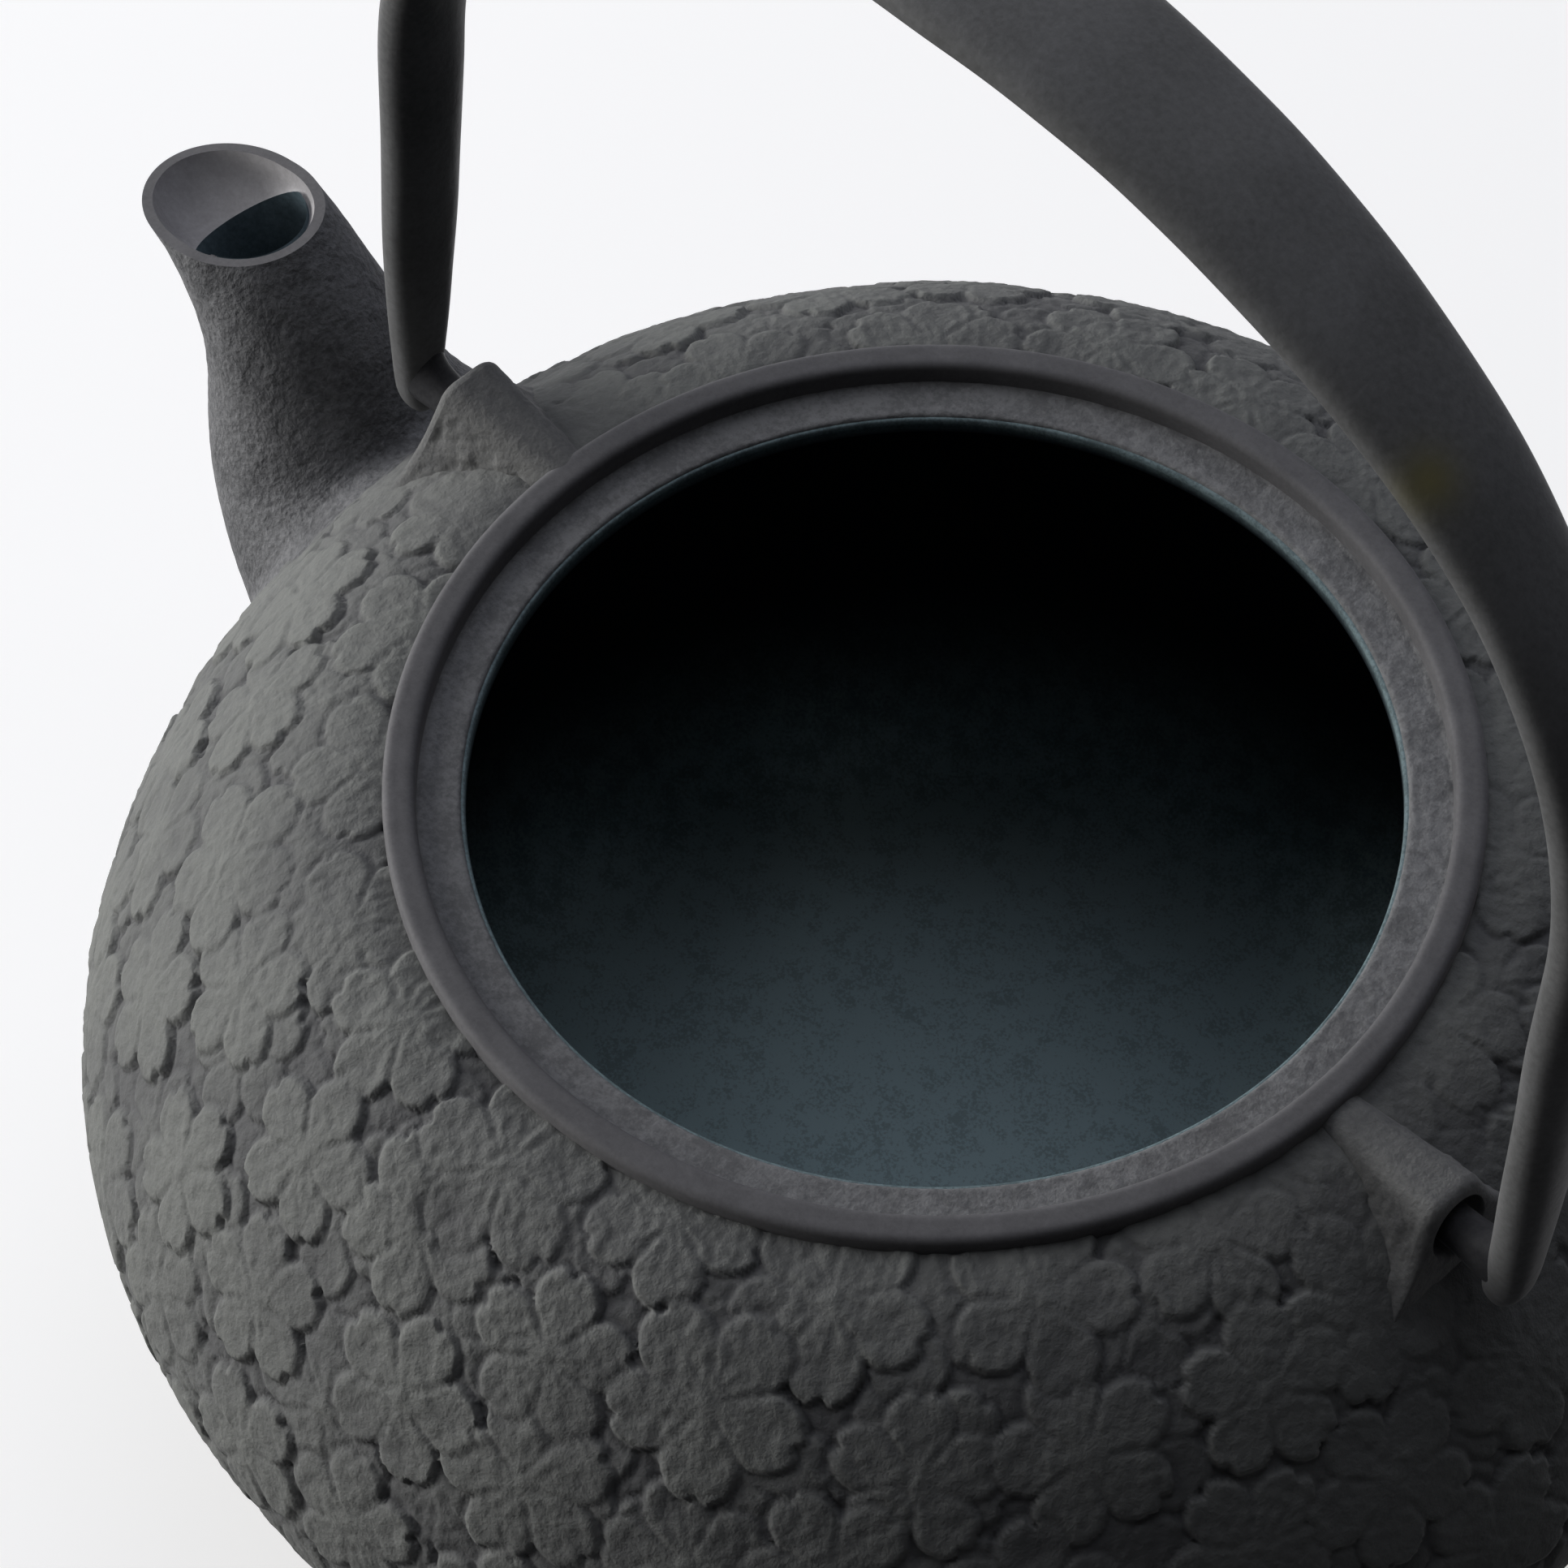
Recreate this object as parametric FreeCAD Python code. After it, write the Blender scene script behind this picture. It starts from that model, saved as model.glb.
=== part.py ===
import FreeCAD, Part
import math
import os

V = FreeCAD.Vector

# Sizes of the pot, in millimetres and degrees
ledge_height = 70.0        # floor to the ledge that carries the lid
mouth_radius = 38.0        # clear opening
ledge_width = 3.9
recess_depth = 2.2         # ledge up to the top of the rim ring
ring_width = 2.7
ring_step = 1.4            # top of the rim ring above the shoulder
ring_round = 0.8
lip_thickness = 1.8        # iron under the ledge at the mouth
belly_radius = 72.7
belly_height = 36.5        # floor to the widest line
belly_crown_pull = 10.8    # how long the belly stays upright above its widest line
belly_foot_pull = 10.8     # the same below it
shoulder_reach = 12.9      # how far the flat of the shoulder runs out from the rim
shoulder_dip = -1.5        # slope of that flat
base_radius = 46.0
base_reach = 12.0          # how far the underside runs out before it turns up
base_rise = 16.0           # slope at which it leaves the base
wall = 3.0
floor_thickness = 3.5

# Sizes of the spout
spout_overhang = 14.4      # mouth centre beyond the belly
spout_mouth_rise = 0.3     # mouth centre above the ledge
spout_mouth_tilt = 10.5    # the pouring side is the lower one
spout_mouth_pitch = 37.8   # slope of the spout's axis at its mouth
spout_mouth_pull = 20.4    # how long the axis keeps that slope
spout_root_pitch = 15.5    # slope of the axis where it leaves the belly
spout_root_pull = 26.1
spout_root_inset = 13.1    # root of the axis inside the belly line
spout_root_height = 40.7
spout_lip_radius = 7.0
spout_neck_pull = 8.5      # radius that the spout tends to above its waist
spout_swell_pull = 12.2    # and below it
spout_root_radius = 18.8
spout_wall = 3.0
spout_steps = 14           # rings along the outside
spout_lip_edge = 1.0       # thickness of the ground edge round the mouth
spout_throat_radius = 5.2
spout_throat_share = 0.08  # throat's place along the axis

# Sizes of the two handle lugs
lug_length = 12.6          # rim ring to the lug's face
lug_ridge_radius = 2.6     # round of the ridge along the lug's top
lug_rise = 3.3             # top of the ridge above the ledge, at the face
lug_flare = 24.0           # slope of the lug's cheeks
lug_face_lean = 15.0       # the face leans back towards its top
lug_depth = 10.0           # middle of the ridge down to the lug's root inside the shoulder
lug_neck_depth = 3.0       # the same at the rim
socket_drop = 1.8          # socket axis below the ledge
socket_depth = 3.6
peg_radius = 2.1
peg_clearance = 0.8
peg_end_gap = 0.6
peg_end_round = 0.6

# Sizes of the handle
leg_gap = 3.7              # lug face to the leg
leg_straight = 38.0        # socket axis to the start of the bend
leg_tail = 4.0             # socket axis to the leg's tip
corner_radius = 45.0
crown_radius = 81.0
strap_width_crown = 15.6
strap_width_bend = 8.0
strap_width_foot = 4.0
strap_thickness = 4.8
foot_thickness = 3.8
tip_round = 2.4
handle_lean = 5.0          # the handle stands a little off upright

# Sizes of the lid and its knob
lid_clearance = 0.5        # lid edge to the recess wall
lid_edge = 2.6
lid_edge_round = 0.8
lid_thickness = 3.0
lid_dome = 5.0
skirt_clearance = 1.0      # skirt to the mouth
skirt_depth = 8.0
skirt_thickness = 2.4
lid_stand_off = 4.0        # lid edge to the belly, where the lid lies on the table
vent_radius = 1.5
vent_offset = 24.0
knob_seat_radius = 8.0
knob_seat_height = 0.8
knob_foot_radius = 6.0
knob_neck_radius = 3.9
knob_radius = 8.4
knob_height = 15.0
knob_shank_radius = 2.4
shank_clearance = 0.2
washer_radius = 5.6
washer_thickness = 1.0
peened_radius = 3.6
peened_height = 1.2

# Places that follow from the sizes
ring_top = ledge_height + recess_depth
recess_radius = mouth_radius + ledge_width
ring_radius = recess_radius + ring_width
rim_foot = (ring_radius, ring_top - ring_step)
socket_height = ledge_height - socket_drop
lug_face = ring_radius + lug_length
leg_line = lug_face + leg_gap + foot_thickness / 2
lid_radius = recess_radius - lid_clearance
lid_line = belly_radius + lid_stand_off + lid_radius


def at(point):
    """A point of the XZ plane, given as (x, z)."""
    return V(point[0], 0, point[1])


def line(start, end):
    return Part.LineSegment(at(start), at(end)).toShape()


def arc(start, middle, end):
    return Part.Arc(at(start), at(middle), at(end)).toShape()


def bezier(*points):
    curve = Part.BezierCurve()
    curve.setPoles([at(p) for p in points])
    return curve.toShape()


def turned(edges):
    """The solid that a closed outline in the XZ plane sweeps round the Z axis."""
    face = Part.Face(Part.Wire(edges))
    return face.revolve(V(0, 0, 0), V(0, 0, 1), 360)


def polar(angle, radius):
    turn = math.radians(angle)
    return (radius * math.cos(turn), radius * math.sin(turn))


def offset(point, shift):
    return (point[0] + shift[0], point[1] + shift[1])


def outer_pot():
    """Base, flank, shoulder and rim ring, as one turned solid without its hollow."""
    base = (base_radius, 0)
    belly = (belly_radius, belly_height)
    flat_end = offset(rim_foot, polar(-shoulder_dip, shoulder_reach))
    flank = bezier(base, offset(base, polar(base_rise, base_reach)), offset(belly, (0, -belly_foot_pull)), belly)
    shoulder = bezier(belly, offset(belly, (0, belly_crown_pull)), flat_end, rim_foot)
    edge_start = (ring_radius, ring_top - ring_round)
    edge_end = (ring_radius - ring_round, ring_top)
    edge_middle = offset((ring_radius - ring_round, ring_top - ring_round), polar(45, ring_round))
    return turned([
        line((0, 0), base),
        flank,
        shoulder,
        line(rim_foot, edge_start),
        arc(edge_start, edge_middle, edge_end),
        line(edge_end, (0, ring_top)),
        line((0, ring_top), (0, 0)),
    ])


def hollow():
    """The pot's inside, the mouth and the lid recess, as one turned solid."""
    above = ring_top + wall
    floor_edge = (base_radius, floor_thickness)
    belly = (belly_radius - wall, belly_height)
    lip = (mouth_radius, ledge_height - lip_thickness)
    flat_end = offset(rim_foot, polar(-shoulder_dip, shoulder_reach))
    flat_end = offset(flat_end, polar(-90 - shoulder_dip, wall))
    flank = bezier(floor_edge, offset(floor_edge, polar(base_rise, base_reach - wall)),
                   offset(belly, (0, -belly_foot_pull)), belly)
    shoulder = bezier(belly, offset(belly, (0, belly_crown_pull)), flat_end, lip)
    return turned([
        line((0, floor_thickness), floor_edge),
        flank,
        shoulder,
        line(lip, (mouth_radius, ledge_height)),
        line((mouth_radius, ledge_height), (recess_radius, ledge_height)),
        line((recess_radius, ledge_height), (recess_radius, above)),
        line((recess_radius, above), (0, above)),
        line((0, above), (0, floor_thickness)),
    ])


def placed(edge, turn, point):
    """A closed edge drawn about the origin, turned about Y and carried to a point of the XZ plane, as a wire."""
    edge.rotate(V(0, 0, 0), V(0, 1, 0), turn)
    edge.translate(at(point))
    return Part.Wire(edge.toNurbs().Edges)


def ring(point, slope, radius, width=None):
    """A circle about a point of the XZ plane, or an ellipse that is wider along Y, square to the slope's direction.

    slope 90 leaves it level. Every ring starts at the same side, so that lofts through them don't twist."""
    if width is None:
        edge = Part.Circle(V(0, 0, 0), V(0, 0, 1), radius).toShape()
    else:
        edge = Part.Ellipse(V(0, 0, 0), width, radius).toShape()
        edge.rotate(V(0, 0, 0), V(0, 0, 1), 90)
    return placed(edge, 90 - slope, point)


spout_mouth = (-belly_radius - spout_overhang, ledge_height + spout_mouth_rise)
spout_root = (-belly_radius + spout_root_inset, spout_root_height)
spout_axis = Part.BezierCurve()
spout_axis.setPoles([
    at(spout_mouth),
    at(offset(spout_mouth, polar(-spout_mouth_pitch, spout_mouth_pull))),
    at(offset(spout_root, polar(180 - spout_root_pitch, spout_root_pull))),
    at(spout_root),
])


def spout_radius(share):
    """The outside's radius along the axis, as a cubic from the lip to the root."""
    rest = 1 - share
    return (rest ** 3 * spout_lip_radius + 3 * rest ** 2 * share * spout_neck_pull
            + 3 * rest * share ** 2 * spout_swell_pull + share ** 3 * spout_root_radius)


def spout_ring(share, radius):
    """A ring round the spout's axis, square to it, at a share of the way from the mouth to the root."""
    point = spout_axis.value(share)
    run = spout_axis.tangent(share)[0]
    return ring((point.x, point.z), math.degrees(math.atan2(-run.z, -run.x)), radius)


def outer_spout():
    """A spout that swells out of the belly, rises to a waist and is cut off nearly level at its flared mouth."""
    past_mouth = offset(spout_mouth, polar(180 - spout_mouth_pitch, 2 * spout_lip_radius))
    rings = [ring(past_mouth, 180 - spout_mouth_pitch, spout_lip_radius)]
    for step in range(spout_steps + 1):
        share = step / spout_steps
        rings.append(spout_ring(share, spout_radius(share)))
    spout = Part.makeLoft(rings, True, True)
    size = spout_overhang + 3 * spout_lip_radius
    above_mouth = Part.makeBox(2 * size, 2 * size, size, V(-size, -size, 0))
    above_mouth.rotate(V(0, 0, 0), V(0, 1, 0), -spout_mouth_tilt)
    above_mouth.translate(at(spout_mouth))
    return spout.cut(above_mouth)


def spout_channel():
    """The dished mouth, the throat below it and the bore that widens to the pot's inside."""
    cut_slope = math.radians(spout_mouth_pitch + spout_mouth_tilt)
    half_width = spout_lip_radius - spout_lip_edge / 2
    half_length = spout_lip_radius / math.sin(cut_slope) - spout_lip_edge / 2
    dish_edge = Part.Ellipse(V(0, 0, 0), half_length, half_width).toShape()
    rings = [
        placed(dish_edge, -spout_mouth_tilt, offset(spout_mouth, (0, spout_lip_edge))),
        spout_ring(spout_throat_share, spout_throat_radius),
    ]
    bore_steps = spout_steps // 2
    for step in range(2, bore_steps + 1):
        share = step / bore_steps
        rings.append(spout_ring(share, spout_radius(share) - spout_wall))
    return Part.makeLoft(rings, True, True)


def lug_outline(depth):
    """A round ridge on two flared cheeks, in the YZ plane about the middle of the ridge."""
    cheek = math.radians(lug_flare)
    side = polar(lug_flare, lug_ridge_radius)
    foot = (side[0] + (depth + side[1]) * math.tan(cheek), -depth)
    points = [V(0, -foot[0], foot[1]), V(0, -side[0], side[1]), V(0, side[0], side[1]), V(0, foot[0], foot[1])]
    return Part.Wire([
        Part.LineSegment(points[0], points[1]).toShape(),
        Part.Arc(points[1], V(0, 0, lug_ridge_radius), points[2]).toShape(),
        Part.LineSegment(points[2], points[3]).toShape(),
        Part.LineSegment(points[3], points[0]).toShape(),
    ])


def lug():
    """The lug on the +X side: its ridge runs out from the rim ring to the face that holds the socket."""
    start = lug_outline(lug_neck_depth)
    start.translate(V(recess_radius + ring_width / 2, 0, ring_top - lug_ridge_radius))
    face = lug_outline(lug_depth)
    face.translate(V(0, 0, socket_drop + lug_rise - lug_ridge_radius))
    face.rotate(V(0, 0, 0), V(0, 1, 0), -lug_face_lean)
    face.translate(V(lug_face, 0, socket_height))
    return Part.makeLoft([start, face], True, True)


def socket():
    """The blind hole for the handle's peg, open past the lug's face."""
    length = socket_depth + leg_gap
    return Part.makeCylinder(peg_radius + peg_clearance, length, V(lug_face - socket_depth, 0, socket_height), V(1, 0, 0))


def other_side(shape):
    """The shape turned half round the pot's axis."""
    return shape.copy().rotate(V(0, 0, 0), V(0, 0, 1), 180)


def pot_body():
    casting = outer_pot().fuse([outer_spout(), lug(), other_side(lug())])
    for tool in (hollow(), spout_channel(), socket(), other_side(socket())):
        casting = casting.cut(tool)
    return casting.removeSplitter()


corner_centre = (leg_line - corner_radius, leg_straight)
crown_drop = math.sqrt((crown_radius - corner_radius) ** 2 - corner_centre[0] ** 2)
crown_centre = (0, leg_straight - crown_drop)
corner_sweep = math.degrees(math.atan2(crown_drop, corner_centre[0]))


def strap_ring(height, turn, width, thickness):
    """One section of the strap on the +X side, as (point, slope, half width, half thickness).

    Up the leg it stands at a height above the socket axis, and past the bend at a turn about the arc's centre."""
    if turn is None:
        return ((leg_line, height), 90, width / 2, thickness / 2)
    centre, radius = (corner_centre, corner_radius) if turn <= corner_sweep else (crown_centre, crown_radius)
    return (offset(centre, polar(turn, radius)), 90 + turn, width / 2, thickness / 2)


def strap_sections():
    """Sections from the tip of the +X leg up to the crown: the strap widens steadily along its length."""
    sections = []
    for share in (0.02, 0.2, 0.55, 1.0):
        full = math.sqrt(1 - (1 - share) ** 2)
        height = -leg_tail + share * tip_round
        sections.append(strap_ring(height, None, strap_width_foot * full, foot_thickness * full))
    for share in (0.25, 0.5, 0.75, 1.0):
        width = strap_width_foot + share * (strap_width_bend - strap_width_foot)
        thickness = foot_thickness + share * (strap_thickness - foot_thickness)
        sections.append(strap_ring(share * leg_straight, None, width, thickness))
    corner_length = math.radians(corner_sweep) * corner_radius
    crown_length = math.radians(90 - corner_sweep) * crown_radius
    corner_turns = [(share * corner_sweep, share * corner_length) for share in (0.25, 0.5, 0.75, 1.0)]
    crown_turns = [(corner_sweep + share * (90 - corner_sweep), corner_length + share * crown_length)
                   for share in (0.5, 1.0)]
    for turn, length in corner_turns + crown_turns:
        share = length / (corner_length + crown_length)
        width = strap_width_bend + share * (strap_width_crown - strap_width_bend)
        sections.append(strap_ring(None, turn, width, strap_thickness))
    return sections


def mirrored(section):
    """The same section on the -X side, run through the other way."""
    point, slope, half_width, half_thickness = section
    return ((-point[0], point[1]), 360 - slope, half_width, half_thickness)


def peg():
    """The peg turned in at the foot of the +X leg, about the socket axis."""
    inner_end = lug_face - socket_depth + peg_end_gap
    pin = Part.makeCylinder(peg_radius, leg_line - inner_end, V(inner_end, 0, 0), V(1, 0, 0))
    end_edges = [e for e in pin.Edges if e.BoundBox.XMax < inner_end + peg_end_round]
    return pin.makeFillet(peg_end_round, end_edges)


def bail_handle():
    half = strap_sections()
    whole = half + [mirrored(s) for s in reversed(half[:-1])]
    strap = Part.makeLoft([ring(p, slope, thin, wide) for p, slope, wide, thin in whole], True)
    handle = strap.fuse([peg(), other_side(peg())])
    handle.translate(V(0, 0, socket_height))
    handle.rotate(V(0, 0, socket_height), V(1, 0, 0), -handle_lean)
    return handle


lid_under = skirt_depth
lid_edge_top = lid_under + lid_edge
knob_seat = lid_under + lid_thickness + lid_dome + knob_seat_height
lid_hole_radius = knob_shank_radius + shank_clearance


def lid():
    """A domed disc with a raised seat for the knob and a skirt that keeps it in the mouth."""
    edge_start = (lid_radius, lid_edge_top - lid_edge_round)
    edge_end = (lid_radius - lid_edge_round, lid_edge_top)
    edge_middle = offset((edge_end[0], edge_start[1]), polar(45, lid_edge_round))
    skirt_out = mouth_radius - skirt_clearance
    skirt_in = skirt_out - skirt_thickness
    seat_foot = (knob_seat_radius, knob_seat - knob_seat_height)
    under_centre = lid_under + lid_dome
    under_flat = (washer_radius + shank_clearance, under_centre)
    pull = (skirt_in - washer_radius) / 2
    disc = turned([
        line((skirt_in, 0), (skirt_out, 0)),
        line((skirt_out, 0), (skirt_out, lid_under)),
        line((skirt_out, lid_under), (lid_radius, lid_under)),
        line((lid_radius, lid_under), edge_start),
        arc(edge_start, edge_middle, edge_end),
        bezier(edge_end, offset(edge_end, (-pull, lid_dome / 2)), offset(seat_foot, (pull, 0)), seat_foot),
        line(seat_foot, (knob_seat_radius, knob_seat)),
        line((knob_seat_radius, knob_seat), (lid_hole_radius, knob_seat)),
        line((lid_hole_radius, knob_seat), (lid_hole_radius, under_centre)),
        line((lid_hole_radius, under_centre), under_flat),
        bezier(under_flat, offset(under_flat, (pull, 0)), (skirt_in - pull, lid_under + lid_dome / 2),
               (skirt_in, lid_under)),
        line((skirt_in, lid_under), (skirt_in, 0)),
    ])
    vent = Part.makeCylinder(vent_radius, knob_seat, V(0, vent_offset, lid_edge))
    disc = disc.cut(vent)
    disc.translate(V(lid_line, 0, 0))
    return disc


washer_top = lid_under + lid_dome
washer_foot = washer_top - washer_thickness


def lid_knob():
    """A bud on a waisted stem, with a shank that is peened over below the washer."""
    top = knob_seat + knob_height
    bud = top - knob_radius
    waist = (knob_neck_radius, knob_seat + (bud - knob_seat) / 2)
    peened_foot = washer_foot - peened_height
    knob = turned([
        line((0, peened_foot), (peened_radius - peened_height / 2, peened_foot)),
        line((peened_radius - peened_height / 2, peened_foot), (peened_radius, washer_foot)),
        line((peened_radius, washer_foot), (knob_shank_radius, washer_foot)),
        line((knob_shank_radius, washer_foot), (knob_shank_radius, knob_seat)),
        line((knob_shank_radius, knob_seat), (knob_foot_radius, knob_seat)),
        bezier((knob_foot_radius, knob_seat), (knob_neck_radius, knob_seat), waist),
        bezier(waist, (knob_neck_radius, bud), (knob_radius, bud - knob_neck_radius / 4), (knob_radius, bud)),
        bezier((knob_radius, bud), (knob_radius, top - knob_radius / 3), (knob_radius / 2, top), (0, top)),
        line((0, top), (0, peened_foot)),
    ])
    knob.translate(V(lid_line, 0, 0))
    return knob


def knob_washer():
    at_lid = V(lid_line, 0, washer_foot)
    disc = Part.makeCylinder(washer_radius, washer_thickness, at_lid)
    return disc.cut(Part.makeCylinder(lid_hole_radius, washer_thickness, at_lid))


os.makedirs("parts", exist_ok=True)
for make in (pot_body, bail_handle, lid, lid_knob, knob_washer):
    solid = make()
    solid.exportStep("parts/" + make.__name__ + ".step")
    box = solid.BoundBox
    print(make.__name__, solid.ShapeType, len(solid.Solids), solid.isValid(), round(solid.Volume),
          [round(v, 1) for v in (box.XMin, box.XMax, box.YMin, box.YMax, box.ZMin, box.ZMax)])
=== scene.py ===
import bpy
import numpy as np
from mathutils import Matrix


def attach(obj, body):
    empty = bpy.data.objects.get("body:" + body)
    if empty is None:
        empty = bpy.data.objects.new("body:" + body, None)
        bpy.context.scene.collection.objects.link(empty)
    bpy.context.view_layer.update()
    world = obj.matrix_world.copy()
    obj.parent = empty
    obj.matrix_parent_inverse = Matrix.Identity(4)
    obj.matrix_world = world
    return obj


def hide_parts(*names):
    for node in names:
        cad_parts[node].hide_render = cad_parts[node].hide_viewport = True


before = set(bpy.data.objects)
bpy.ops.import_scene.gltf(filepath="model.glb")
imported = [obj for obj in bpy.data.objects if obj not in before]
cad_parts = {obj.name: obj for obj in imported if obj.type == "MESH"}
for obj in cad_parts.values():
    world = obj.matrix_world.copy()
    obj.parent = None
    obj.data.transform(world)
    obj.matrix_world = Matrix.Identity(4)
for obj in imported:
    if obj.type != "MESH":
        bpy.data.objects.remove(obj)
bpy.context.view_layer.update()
rng = np.random.default_rng(20)
MM = 0.001

# Sizes of the solids, in millimetres and degrees
LEDGE = 70.0
LEDGE_WIDTH = 3.9
MOUTH_RADIUS = 38.0
LIP_THICKNESS = 1.8
LIP_FOOT = (MOUTH_RADIUS, LEDGE - LIP_THICKNESS)
RECESS_DEPTH = 2.2
RECESS_RADIUS = MOUTH_RADIUS + LEDGE_WIDTH
RING_WIDTH = 2.7
RING_RADIUS = RECESS_RADIUS + RING_WIDTH
RING_TOP = LEDGE + RECESS_DEPTH
RING_STEP = 1.4
RING_ROUND = 0.8
RIM_FOOT = (RING_RADIUS, RING_TOP - RING_STEP)
BELLY = (72.7, 36.5)  # radius and height of the widest line
BELLY_PULL = 10.8
SHOULDER_FLAT = (12.9, 1.5)  # reach and slope
BASE_RADIUS = 46.0
BASE_TURN = (12.0, 16.0)  # reach and slope
WALL = 3.0
FLOOR = 3.5
SOCKET_DROP = 1.8
SOCKET_HEIGHT = LEDGE - SOCKET_DROP
SOCKET_RADIUS = 2.9
SOCKET_DEPTH = 3.6
LUG_LENGTH = 12.6
LUG_FACE = RING_RADIUS + LUG_LENGTH
LUG_FLARE = 24.0
PEG_RADIUS = 2.1
PEG_END_GAP = 0.6
LEG_GAP = 3.7
LEG_THICKNESS = 3.8
LEG_LINE = LUG_FACE + LEG_GAP + LEG_THICKNESS / 2
LEG_STRAIGHT = 38.0
LEG_TAIL = 4.0
CORNER_RADIUS = 45.0
CROWN_RADIUS = 81.0
LID_CLEARANCE = 0.5
LID_RADIUS = RECESS_RADIUS - LID_CLEARANCE
LID_STAND_OFF = 4.0
LID_LINE = BELLY[0] + LID_STAND_OFF + LID_RADIUS
LID_EDGE = 2.6
LID_ROUND = 0.8
LID_UNDER = 8.0
LID_EDGE_TOP = LID_UNDER + LID_EDGE
LID_RISE = 5.0
LID_THICKNESS = 3.0
LID_SEAT = (8.0, LID_UNDER + LID_RISE + LID_THICKNESS)  # radius and foot of the knob's seat
LID_SEAT_HEIGHT = 0.8
LID_HOLE_RADIUS = 2.6
SKIRT = (34.6, 37.0)  # inner and outer radius
WASHER_RADIUS = 5.6
VENT_RADIUS = 1.5
VENT_OFFSET = 24.0
SPOUT_MOUTH = (-87.1, 70.3)
SPOUT_ROOT = (-59.6, 40.7)
SPOUT_TILT = 10.5
SPOUT_PITCH = (37.8, 15.5)  # slopes of the axis at the mouth and the root
SPOUT_PULL = (20.4, 26.1)  # how long it keeps them
SPOUT_WALL = 3.0
LIP_EDGE = 1.0

# Sizes fitted to the photograph, a little off those of the solids
SPOUT_RADII = (6.99, 9.0, 11.5, 18.6)
THROAT = (-85.0, 69.3)
THROAT_RADIUS = 5.3
THROAT_PITCH = 50.0
LUG_RIDGE = 2.0
LUG_FLATS = (0.3, 1.2)  # half widths of the ridge's flat at the rim and at the face
LUG_DEPTHS = (2.6, 10.6)  # depths of the lug at the same places
LUG_LEAN = 8.0
LUG_EDGE = 0.9
LUG_SPREAD = 1.1
LUG_BLEND = 3.0
PEG_WEB = 3.4
STRAP_WIDTHS = (3.6, 4.4, 6.4, 7.6, 8.1, 8.2, 10.5, 15.6)
STRAP_THICKNESSES = (3.7, LEG_THICKNESS, 4.8, 4.8, 4.5)
HANDLE_LEAN = 5.15
RUB_PLACE = (43.4, 3.0, 145.0)
RUB_REACH = 1.5

# The body that a piece rides on, its material slot and the solid that it stands for
POT = ("pot", "pot_iron", "pot_body")
HANDLE = ("handle", "handle_iron", "bail_handle")
LID = ("lid", "lid_iron", "lid")

# Random heights of the skins, each as pairs of a depth in millimetres and a grain in cells of the grid
RELIEF_GRAIN = ((0.035, 2.0), (0.05, 16.0))
WALL_SAND = ((0.05, 2.0), (0.08, 7.0))
RING_GRAIN = ((0.012, 8.0),)
LEDGE_GRAIN = ((0.02, 2.0),)
SPOUT_SAND = ((0.012, 2.4), (0.015, 9.0))
LUG_SAND = ((0.06, 2.2), (0.09, 6.0))
STRAP_GRAIN = ((0.05, 14.0),)
LID_GRAIN = ((0.03, 2.0),)


# Lines and grids

def polar(degrees, length):
    """length at that angle, as (x, y)."""
    turn = np.radians(degrees)
    return np.array([length * np.cos(turn), length * np.sin(turn)])


def cubic(poles, share):
    """Points of a cubic curve: its four poles weighted by the Bernstein cubics of share."""
    t = np.asarray(share, float)[..., None]
    a, b, c, d = np.asarray(poles, float)
    return (1 - t) ** 3 * a + 3 * t * (1 - t) ** 2 * b + 3 * t ** 2 * (1 - t) * c + t ** 3 * d


def distances(line):
    """How far along a line each of its points is."""
    return np.concatenate([[0], np.cumsum(np.linalg.norm(np.diff(line, axis=0), axis=1))])


def evenly(points, count):
    """count points at equal distances along a line of points."""
    points = np.asarray(points, float)
    reach = distances(points)
    at = np.linspace(0, reach[-1], count)
    return np.stack([np.interp(at, reach, points[:, i]) for i in range(points.shape[1])], axis=1)


def rounded(corners, radius, steps=6):
    """A line through corners, with a quadratic curve that starts radius before each inner corner."""
    corners = np.asarray(corners, float)
    t = np.linspace(0, 1, steps)[:, None]
    line = [corners[:1]]
    for before, corner, after in zip(corners[:-2], corners[1:-1], corners[2:]):
        start = corner + (before - corner) * min(0.5, radius / np.linalg.norm(before - corner))
        end = corner + (after - corner) * min(0.5, radius / np.linalg.norm(after - corner))
        line.append((1 - t) ** 2 * start + 2 * t * (1 - t) * corner + t ** 2 * end)
    line.append(corners[-1:])
    return np.concatenate(line)


def subdivided(line, step):
    """The same line with extra points, so that none are further apart than step."""
    parts = [np.linspace(a, b, max(2, int(np.ceil(np.linalg.norm(b - a) / step)) + 1))[:-1]
             for a, b in zip(line[:-1], line[1:]) if np.linalg.norm(b - a) > 1e-6]
    return np.concatenate(parts + [line[-1:]])


def circle(count):
    """count angles evenly round a circle, from 0."""
    return np.linspace(0, 2 * np.pi, count, endpoint=False)


def turned(profile, columns):
    """A profile of (radius, height) swept round Z: radius times the unit circle, at its height."""
    turn = circle(columns)
    radius, height = np.asarray(profile, float).T
    return np.stack([np.outer(radius, np.cos(turn)), np.outer(radius, np.sin(turn)),
                     np.repeat(height[:, None], columns, axis=1)], axis=-1)


def eased(values, span):
    """Values of a line averaged over span neighbours with a raised cosine, the ends held."""
    weights = np.hanning(span + 2)[1:-1]
    padded = np.pad(values, span // 2, mode="edge")
    return np.convolve(padded, weights / weights.sum(), mode="valid")[:len(values)]


def unit(vectors):
    """Vectors divided by their lengths."""
    return vectors / np.maximum(np.linalg.norm(vectors, axis=-1, keepdims=True), 1e-12)


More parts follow.
